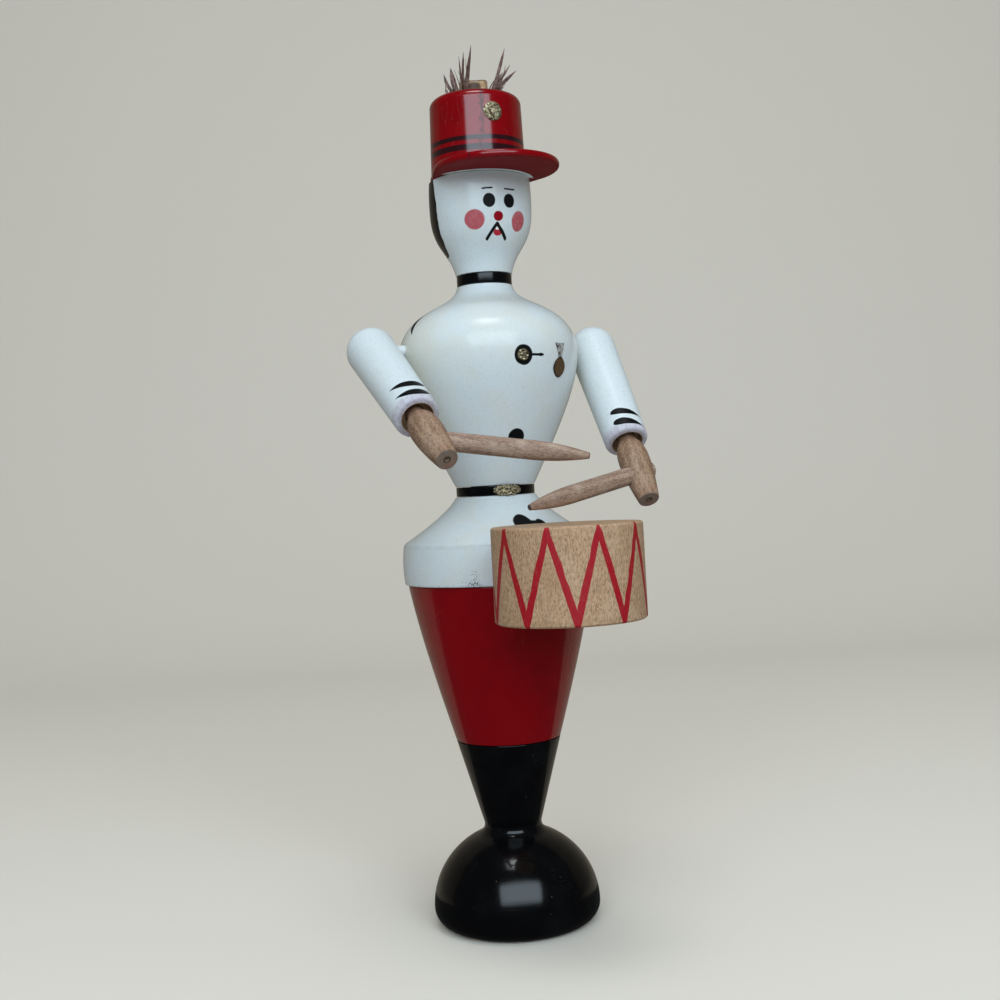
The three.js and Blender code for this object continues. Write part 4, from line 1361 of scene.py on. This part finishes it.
# a disc, and a gathered ribbon over it
def makeMedal(torsoFace):
    centre = level["torso"] + medalCut["height"]
    size = medalCut["radius"]
    wide, waist, tall = medalCut["ribbon"]
    foot = centre + size * 0.9

    # the disc has darkened to bronze, with a dark rim; the ribbon is silver, darker along its edges, with a
    # painted highlight near its middle and in patches
    def tarnishAndHighlight(finish, vector, colour, shine):
        angle, height = finish.around(vector)
        u = (angle - medalCut["turnDeg"]) * math.radians(medalCut["arc"])
        disc = spot(u, height, (0.0, centre), (size * 1.02, size * 1.02), 0.02)
        middle = spot(u, height, (0.0, centre), (size * 0.8, size * 0.86), 0.12)
        haze = finish.noise(vector, 0.9, 2.0)
        bronze = finish.mix(foilLook["bronzeDark"], foilLook["bronze"], middle * (0.6 + haze * 0.6))
        up = ((height - foot) / tall).most(0.0)
        edge = (abs(u) / (up * (wide - waist) * 0.5 + waist * 0.5)).rise(0.66, 0.96)
        # painted highlight: a bright band down the ribbon, and bright patches
        fold = abs(u - 0.2 + (haze - 0.5) * 1.5).fall(0.1, 0.55) * (0.3 + haze * 1.2)
        gleam = finish.noise(vector, 0.85, 2.0).rise(0.4, 0.58)
        paintedHighlight = fold.most(gleam * 0.9).least(1.0)
        ribbon = finish.mix(foilLook["dull"], foilLook["silver"], paintedHighlight)
        ribbon = finish.mix(ribbon, foilLook["edge"], edge * 0.65)
        return finish.mix(ribbon, bronze, disc), shine + disc * 0.12

    silver = makeFoil("silverFoil", foilLook["silver"], foilLook["dull"], tarnishAndHighlight, 0.45)
    shape = bmesh.new()
    foilDisc(shape, centre, medalRim, torsoFace, medalCut["turnDeg"])
    rows = 16
    columns = 10
    sheets = []
    for lifted in (True, False):
        sheet = []
        for r in range(rows + 1):
            t = r / rows
            half = between(waist, wide, max(0.0, t - 0.2) / 0.8) / 2
            row = []
            for c in range(columns + 1):
                across = c / columns * 2 - 1
                v = foot + tall * t
                radius = torsoFace(v) + foilLook["lift"]
                fold = 0.72 + 0.28 * math.cos(across * 3 * math.pi) * t
                thick = foilLook["thick"] * fold * (1 - 0.5 * abs(across) ** 6)
                away = radius + (thick if lifted else 0.0)
                turn = across * half / radius + math.radians(medalCut["turnDeg"])
                row.append(shape.verts.new((away * math.sin(turn) * mm, -away * math.cos(turn) * mm, v * mm)))
            sheet.append(row)
        sheets.append(sheet)
    top, under = sheets
    for r in range(rows):
        for c in range(columns):
            shape.faces.new((top[r][c], top[r][c + 1], top[r + 1][c + 1], top[r + 1][c]))
            shape.faces.new((under[r][c], under[r + 1][c], under[r + 1][c + 1], under[r][c + 1]))
    border = [(r, 0) for r in range(rows)] + [(rows, c) for c in range(columns)]
    border += [(rows - r, columns) for r in range(rows)] + [(0, columns - c) for c in range(columns)]
    for (r, c), (q, d) in zip(border, border[1:] + border[:1]):
        shape.faces.new((top[r][c], top[q][d], under[q][d], under[r][c]))
    foilObject("medalFoil", shape, silver, "medal")


# Drum
drumCut = {
    "radius": 16.85, "height": 21.2, "edge": 0.4, "peg": (2.0, 8.0), "pegBelowTop": 9.2,
    "points": 9, "firstDeg": -1.7, "gatherDeg": 4.0, "half": (0.84, 0.66), "inset": 0.9,
    "red": tone(164, 12, 30), "grime": tone(150, 108, 74),
}
drumWood = wood((180, 144, 111), (150, 114, 84), (100, 72, 50), (208, 176, 144), rings=0.08, grit=0.52)


def makeDrum():
    low = level["drum"]
    radius = drumCut["radius"]
    edge = drumCut["edge"]
    away = (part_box("drum")[0].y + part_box("drum")[1].y) / 2
    place = Matrix.Translation((0, away, low * mm))
    shape = Profile(0, 0)
    for i in range(1, 9):
        shape.line(((radius - edge) * i / 8, 0))
    shape.line((radius, edge))
    for i in range(1, 13):
        shape.line((radius, between(edge, drumCut["height"] - edge, i / 12)))
    shape.line((radius - edge, drumCut["height"]))
    for i in range(7, -1, -1):
        shape.line(((radius - edge) * i / 8, drumCut["height"]))
    shape.eased(0.3)

    # a red zigzag round the side, from edge to edge
    def paint(finish, vector, colour, shine):
        angle, height = finish.around(vector)
        wobble = finish.noise(vector, 0.3, 1.0) - 0.5
        gather = (angle * math.radians(1)).maths("SINE") * drumCut["gatherDeg"]
        phase = (angle + gather - drumCut["firstDeg"]) * (drumCut["points"] / 360.0) + 20.0
        tooth = abs(phase.maths("FRACT") - 0.5) * 2.0
        halfRun = math.pi * radius / drumCut["points"]
        rise = drumCut["height"] - 2 * drumCut["inset"]
        square = rise / math.hypot(rise, halfRun)
        off = abs((tooth - (height - drumCut["inset"]) / rise) * (halfRun * square) + wobble * 0.4)
        share = (height / drumCut["height"]).most(0.0)
        foot, tip = drumCut["half"]
        width = foot - share * share * (foot - tip) + wobble * 0.2
        side = finish.fromAxis(vector).rise(radius - 0.5, radius - 0.3)
        thin = finish.noise(finish.stretch(vector, 3.0, 3.0, 0.8), 1.0, 3.0).rise(0.3, 0.5)
        red = (width - off).rise(-0.07, 0.07) * side * (0.93 + thin * 0.07)
        grime = side * finish.noise(vector, 0.12, 2.0).rise(0.5, 0.8) * 0.25
        colour = finish.mix(colour, drumCut["grime"], grime)
        return finish.mix(colour, drumCut["red"], red), shine - red * 0.16

    finish = makeBeech("drumWood", place, paint, 0.75, 0.6, drumWood)
    piece = turned("drumTurned", shape, finish, 160)
    peg, depth = drumCut["peg"]
    pegHeight = drumCut["height"] - drumCut["pegBelowTop"]
    towards = Matrix.Translation((0, 0, pegHeight * mm)) @ Matrix.Rotation(-math.pi / 2, 4, "X")
    bored(piece, towards, peg + boreFit, radius - depth - boreSpare, radius + drillPast)
    seat(piece, "drum", "figure", place)


# Arms, made hanging from the shoulder pin
armCut = {
    # the sleeve's radii at the top and the end, its length and the height of its cap
    "sleeve": (6.0, 5.3, 32.4, 5.6), "chamfer": 0.9, "recess": (3.7, 2.0), "wrist": (2.1, 6.5),
    "handLength": 18.0, "hand": (2.25, 3.75, 2.45), "grip": 9.7, "centre": (0.6, 1.2),
    "pin": (1.6, 8.5, 0.1), "leanDeg": 3.3, "markArc": 5.45,
}
sleeveLook = {
    "worn": tone(178, 167, 182), "rubbed": tone(150, 136, 136),
    "bore": tone(172, 142, 112), "boreDark": tone(118, 92, 70),
}
# the pit and root tones are painted shade
handLook = {
    "end": tone(116, 104, 94), "pit": tone(52, 40, 34),
    "grime": tone(150, 104, 82), "root": tone(140, 104, 84),
}
stickLook = {"greyed": tone(146, 116, 98), "tip": tone(58, 50, 48)}
handWood = wood((158, 125, 100), (127, 95, 72), (74, 54, 42), (184, 156, 131), grit=0.46)
stickWood = wood((171, 142, 122), (140, 111, 93), (88, 66, 54), (190, 168, 150), grit=0.4)
stickCut = {"radius": 2.15, "taper": 12.0, "tip": 0.65, "tail": 1.7, "seat": 1.2, "proud": 0.15}
arms = {
    "right": {
        "side": -1, "gap": 2.0, "reach": 34.1, "droop": 30.7, "turn": 8.0, "through": False,
        "tipHeight": 14.6, "tipDark": 0.3,
        # each cuff mark's two ends, half width, bluntness of its ends and skew
        "cuffs": [
            ((-58.0, -25.0), (46.0, -24.9), 1.1, 1.2, 0.9, 1.0),
            ((-57.0, -28.7), (46.0, -28.4), 1.15, 1.2, 0.9, 1.0),
        ],
    },
    "left": {
        "side": 1, "gap": 0.6, "reach": 32.4, "droop": 18.5, "turn": 0.0, "through": True,
        "tipHeight": 3.9, "tipDark": 0.85,
        "cuffs": [
            ((-48.5, -26.4), (40.0, -28.0), 0.92, 0.5, 1.1, -0.45),
            ((-50.0, -29.5), (38.0, -31.0), 1.0, 0.5, 1.1, -0.3),
        ],
    },
}


def stickAim(arm):
    flat = math.cos(math.radians(arm["droop"]))
    turn = math.radians(arm["turn"])
    return Vector((
        -arm["side"] * flat * math.cos(turn), -flat * math.sin(turn), -math.sin(math.radians(arm["droop"])),
    ))


# the swing that holds the stick's tip at its height over the drum
def armPlace(arm):
    lean = Matrix.Rotation(arm["side"] * math.radians(armCut["leanDeg"]), 4, "Y")
    grip = -(armCut["sleeve"][2] + armCut["grip"])
    tip = lean @ (Vector((0, 0, grip)) + stickAim(arm) * arm["reach"])
    shoulder = level["torso"] + torsoCut["shoulder"]
    drop = shoulder - (highOf("drum") + arm["tipHeight"])
    swing = math.acos(drop / math.hypot(tip.y, tip.z)) - math.atan2(-tip.y, -tip.z)
    out = arm["side"] * (torsoCut["chest"][0] + arm["gap"] + armCut["sleeve"][0])
    return Matrix.Translation((out * mm, 0, shoulder * mm)) @ Matrix.Rotation(-swing, 4, "X") @ lean


def makeSleeve(name, arm, place):
    topRadius, endRadius, length, cap = armCut["sleeve"]
    recess, recessDepth = armCut["recess"]
    wrist, wristDepth = armCut["wrist"]
    chamfer = armCut["chamfer"]
    recessFloor = -length + recessDepth
    socket = wrist + boreFit
    socketFloor = recessFloor + wristDepth + boreSpare
    shape = Profile(0, socketFloor).line((socket, socketFloor), (socket, recessFloor), (recess, recessFloor))
    shape.line((recess, -length), (endRadius - chamfer, -length))
    shape.bend((endRadius - 0.1, -length + 0.1), (endRadius, -length + chamfer), 8)
    for i in range(1, 21):
        shape.line((between(endRadius, topRadius, i / 20), between(-length + chamfer, 0, i / 20)))
    shape.arc((0, 0), (topRadius, cap), 0, 90, 24)
    shape.eased(0.2)

    # two pointed cuff marks, a worn lilac-grey end, and bare wood in the bore
    def paint(finish, vector, colour, shine):
        angle, height = finish.around(vector)
        away = finish.fromAxis(vector)
        perDeg = math.radians(armCut["markArc"])
        wobble = finish.noise(vector, 0.6, 2.0) - 0.5
        arc = angle * perDeg + wobble * 0.2
        lift = height + wobble * 0.2
        outside = away.rise(endRadius - 0.75, endRadius - 0.6)
        black = union(*(
            leaf(arc, lift, (start[0] * perDeg, start[1]), (end[0] * perDeg, end[1]), *brush)
            for start, end, *brush in arm["cuffs"]
        ))
        colour = finish.mix(colour, lacquerLook["black"], black * outside)
        rub = finish.noise(vector, 0.8, 3.0, 0.65)
        mottle = finish.noise(finish.stretch(vector, 1.0, 1.0, 0.5), 1.0, 3.0, 0.6).rise(0.35, 0.65)
        worn = (height + rub * 1.4).fall(-length + 1.8, -length + 3.8) * (1.0 - black)
        colour = finish.mix(colour, sleeveLook["worn"], worn * (0.45 + mottle * 0.35))
        bare = (height + rub * 0.9).fall(-length + 0.35, -length + 0.8) * rub.rise(0.42, 0.56)
        colour = finish.mix(colour, sleeveLook["rubbed"], bare * 0.6)
        inside = away.fall(recess + 0.1, recess + 0.3) * height.fall(-length + 9.0, -length + 9.2)
        bareTone = finish.mix(sleeveLook["bore"], sleeveLook["boreDark"], finish.noise(vector, 1.4, 3.0, 0.7))
        colour = finish.mix(colour, bareTone, inside)
        return colour, (shine + worn * 0.3 + inside * 0.3 + black * 0.1).least(0.9)

    finish = makeWhite(name + "SleeveLacquer", place, paint, 0.12, 0.34, 0.17)
    piece = turned(name + "SleeveRod", shape, finish, 112)
    pin, inSleeve, run = armCut["pin"]
    across = Matrix.Rotation(arm["side"] * (math.pi / 2 - math.radians(armCut["leanDeg"])), 4, "Y")
    bored(piece, across, pin + run, -topRadius - arm["gap"], inSleeve - topRadius + boreSpare)
    seat(piece, name + "_sleeve", name + "_arm", place)


def stickPlace(arm):
    turn = Vector((0, 0, 1)).rotation_difference(stickAim(arm)).to_matrix().to_4x4()
    grip = -(armCut["sleeve"][2] + armCut["grip"])
    return Matrix.Translation((0, 0, grip * mm)) @ turn


def makeHand(name, arm, place):
    length = armCut["sleeve"][2]
    root, widest, end = armCut["hand"]
    wrist, wristDepth = armCut["wrist"]
    hole, holeDepth = armCut["centre"]
    foot = -length - armCut["handLength"]
    belly = -length - armCut["grip"] * 0.6
    wristTop = -length + armCut["recess"][1] + wristDepth
    shape = Profile(0, foot + holeDepth).line((hole, foot), (end, foot))
    shape.bend((widest, between(foot, belly, 0.6)), (widest, belly), 22)
    shape.bend((widest, between(belly, -length + glueLine, 0.6)), (root, -length + glueLine), 18)
    shape.line((wrist, -length + glueLine), (wrist, wristTop), (0, wristTop)).eased(0.18)

    # a greyed end with the pit of the lathe centre painted dark as shade, patches of grime, and painted shade
    # at its root under the sleeve
    def paint(finish, vector, colour, shine):
        z = finish.split(vector)[2]
        away = finish.fromAxis(vector)
        endFace = z.fall(foot + 0.05, foot + 0.35)
        # painted shade: the lathe centre's pit is darkened
        pit = endFace * away.fall(hole - 0.1, hole + 0.5)
        dull = finish.noise(vector, 1.6, 2.0)
        colour = finish.mix(colour, handLook["end"], endFace * (0.5 + dull * 0.5))
        colour = finish.mix(colour, handLook["pit"], pit)
        grime = finish.noise(vector, 0.3, 3.0).rise(0.5, 0.72)
        colour = finish.mix(colour, handLook["grime"], grime * 0.35)
        # painted shade: darker at the root, under the sleeve's end
        shadeUnderSleeve = z.rise(-length - 2.5, -length - 0.5)
        return finish.mix(colour, handLook["root"], shadeUnderSleeve * 0.4), shine

    finish = makeBeech(name + "HandWood", place, paint, 1.0, 1.0, handWood)
    piece = turned(name + "HandPeg", shape, finish, 96)
    depth = 2 * widest if arm["through"] else stickCut["seat"] + boreSpare
    bored(piece, stickPlace(arm), stickCut["radius"] + boreFit, -depth, arm["reach"])
    seat(piece, name + "_hand", name + "_arm", place)


def makeStick(name, arm, place):
    radius = stickCut["radius"]
    reach = arm["reach"]
    tail = -armCut["hand"][1] - stickCut["proud"] if arm["through"] else -stickCut["seat"]
    shape = Profile(0, tail).line((stickCut["tail"], tail), (radius, tail + radius - stickCut["tail"]))
    for i in range(1, 17):
        shape.line((radius, between(tail + radius - stickCut["tail"], reach - stickCut["taper"], i / 16)))
    shape.bend((radius * 0.95, reach - stickCut["taper"] / 2), (stickCut["tip"], reach), 22)
    shape.line((0, reach)).eased(0.35)

    # a greyed tip
    def paint(finish, vector, colour, shine):
        z = finish.split(vector)[2]
        greyed = z.rise(reach - 5.0, reach - 0.2) * finish.noise(vector, 0.7, 2.0).rise(0.3, 0.6)
        colour = finish.mix(colour, stickLook["greyed"], greyed * 0.45)
        tip = z.rise(reach - 0.35, reach - 0.1) * arm["tipDark"]
        return finish.mix(colour, stickLook["tip"], tip), shine

    own = place @ stickPlace(arm)
    finish = makeBeech(name + "StickWood", own, paint, 0.85, 1.1, stickWood)
    piece = turned(name + "StickTurned", shape, finish, 80)
    seat(piece, name + "_drumstick", name + "_arm", own)


# Dowels, pegs and pins keep their solids
def dressPegs():
    # white lacquer has run on to the shoulder pins between the body and the sleeves
    def runs(finish, vector, colour, shine):
        out = abs(finish.split(vector)[0])
        chest = torsoCut["chest"][0]
        ragged = finish.noise(vector, 0.9, 2.0)
        shown = out.rise(chest - 2.5, chest - 2.0) * (out + ragged).fall(chest + 2.95, chest + 3.35)
        return finish.mix(colour, lacquerLook["white"], shown * 0.9), shine - shown * 0.2

    dowel = makeBeech("dowelWood")
    pin = makeBeech("pinWood", None, runs)
    dowels = ("leg_dowel", "hip_dowel", "hat_dowel", "drum_peg")
    for node in dowels + ("right_shoulder_pin", "left_shoulder_pin"):
        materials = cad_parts[node].data.materials
        materials.clear()
        materials.append((dowel if node in dowels else pin).material)


makeBase()
makeBoots()
makeTrousers()
makeSkirt()
makeBand("beltRing", "waist_belt", bandCut["beltBore"], bandCut["belt"])
makeTorso()
makeBand("neckRing", "neck_band", bandCut["neckBore"], bandCut["neck"])
makeHead()
makeVisor()
makeCrown()
print("stack done")
makePlug()
makePlume()
makeFoils()
makeDrum()
print("plume, foils and drum done")
for armName, armSizes in arms.items():
    armAt = armPlace(armSizes)
    makeSleeve(armName, armSizes, armAt)
    makeHand(armName, armSizes, armAt)
    makeStick(armName, armSizes, armAt)
dressPegs()
print("arms done")


# Camera: the photograph's angle, distance and roll
cameraLook = {
    "azimuth": -21.7, "distance": 325.0, "height": 108.1, "rollDeg": -3.07,
    # focal length, frame and the axis' place in the photograph's pixels
    "focal": 1300.0, "frame": 1000.0, "axisAt": (495.3, 486.6), "sensor": 36.0, "clip": 0.01,
}


def makeCamera():
    turn = math.radians(cameraLook["azimuth"])
    data = bpy.data.cameras.new("photoCamera")
    pixels = cameraLook["frame"]
    data.sensor_width = cameraLook["sensor"]
    data.lens = cameraLook["focal"] / pixels * cameraLook["sensor"]
    data.clip_start = cameraLook["clip"]
    data.shift_x = (pixels / 2 - cameraLook["axisAt"][0]) / pixels
    data.shift_y = (cameraLook["axisAt"][1] - pixels / 2) / pixels
    camera = newObject("photoCamera", data)
    away = cameraLook["distance"] * mm
    place = Matrix.Translation((away * math.sin(turn), -away * math.cos(turn), cameraLook["height"] * mm))
    facing = Matrix.Rotation(turn, 4, "Z") @ Matrix.Rotation(math.pi / 2, 4, "X")
    camera.matrix_world = place @ facing @ Matrix.Rotation(math.radians(cameraLook["rollDeg"]), 4, "Z")
    bpy.context.scene.camera = camera


# Stage: a pale floor that curves up behind
stageLook = {
    "paper": tone(238, 231, 219), "mirrored": tone(150, 138, 122),
    "behind": 0.85, "round": 0.4, "high": 1.6, "side": 4.0, "front": -4.0, "back": 0.03,
}


def paperSheet(name, section, paper):
    azimuth = Matrix.Rotation(math.radians(cameraLook["azimuth"]), 4, "Z")
    points = []
    for side in (-stageLook["side"], stageLook["side"]):
        points += [azimuth @ Vector((side, y, z)) for y, z in section]
    count = len(section)
    faces = [(i, count + i, count + i + 1, i + 1) for i in range(count - 1)]
    mesh = bpy.data.meshes.new(name)
    mesh.from_pydata(points, [], faces)
    for face in mesh.polygons:
        face.use_smooth = True
    mesh.materials.append(paper.material)
    sheet = newObject(name, mesh)
    return sheet


# the lacquer mirrors the paper behind the figure dimly, and not the floor in front, which throws no light up
def makeStage():
    paper = Finish("paper", roughness=0.85, specularIorLevel=0.2)
    mirrored = paper.node("ShaderNodeLightPath", output="Is Glossy Ray")
    paper.feed(baseColor=paper.mix(stageLook["paper"], stageLook["mirrored"], mirrored))
    bend = stageLook["round"]
    foot = stageLook["behind"] - bend
    floor = paperSheet("paperFloor", [(stageLook["front"], 0.0), (stageLook["back"], 0.0)], paper)
    floor.visible_glossy = False
    floor.visible_diffuse = False
    wall = [(stageLook["back"], 0.0)]
    for i in range(49):
        turn = math.pi / 2 * i / 48
        wall.append((foot + bend * math.sin(turn), bend * (1 - math.cos(turn))))
    wall.append((stageLook["behind"], stageLook["high"]))
    paperSheet("paperWall", wall, paper)


# Light: a wide window behind the camera, a soft lamp above and even air all round
lightLook = {
    "window": {
        "at": (-0.22, -0.79, 0.54), "size": (1.15, 0.75), "watts": 12.4, "colour": (0.74, 0.89, 1.0),
        "fade": (0.12, 0.3),
    },
    "above": {
        "at": (-0.08, -0.22, 0.95), "size": (0.5, 0.4), "watts": 5.5, "colour": (0.92, 0.97, 1.0),
        "fade": (0.42, 0.42),
    },
    "target": (0, -0.01, 0.11),
    "air": (0.93, 0.95, 0.96, 1.0), "airStrength": 0.36, "airHidden": 0.9, "airSeen": tone(152, 148, 140),
}


def lightNodes(owner):
    owner.use_nodes = True
    return Nodes(owner.node_tree)


# fades a lamp towards its edges, as a cloth-fronted box does
def softBox(lamp, fade):
    nodes = lightNodes(lamp)
    u, v = nodes.split(nodes.node("ShaderNodeNewGeometry", output="Parametric"))[:2]
    glow = (0.5 - abs(u - 0.5)).rise(0.0, fade[0]) * (0.5 - abs(v - 0.5)).rise(0.0, fade[1])
    nodes.join(nodes.tree.nodes["Emission"].inputs["Strength"], glow)


# even light from all round, of which the lacquer mirrors little
def softAir(world):
    nodes = lightNodes(world)
    air = nodes.tree.nodes["Background"]
    mirrored = nodes.node("ShaderNodeLightPath", output="Is Glossy Ray")
    seen = nodes.node("ShaderNodeLightPath", output="Is Camera Ray")
    strength = lightLook["airStrength"]
    dimmed = mirrored * (strength * lightLook["airHidden"])
    nodes.join(air.inputs["Color"], nodes.mix(lightLook["air"], lightLook["airSeen"], seen))
    nodes.join(air.inputs["Strength"], strength - dimmed + seen * (1.0 - strength))


def makeLights():
    target = Vector(lightLook["target"])
    for name in ("window", "above"):
        look = lightLook[name]
        data = bpy.data.lights.new(name, "AREA")
        data.shape = "RECTANGLE"
        data.size, data.size_y = look["size"]
        data.energy = look["watts"]
        data.color = look["colour"]
        softBox(data, look["fade"])
        lamp = newObject(name, data)
        lamp.location = look["at"]
        lamp.rotation_euler = (target - Vector(look["at"])).to_track_quat("-Z", "Y").to_euler()
    world = bpy.data.worlds.new("softAir")
    softAir(world)
    bpy.context.scene.world = world
    bpy.context.scene.view_settings.view_transform = "Standard"


makeStage()
makeCamera()
makeLights()
print("stage, camera and light done")
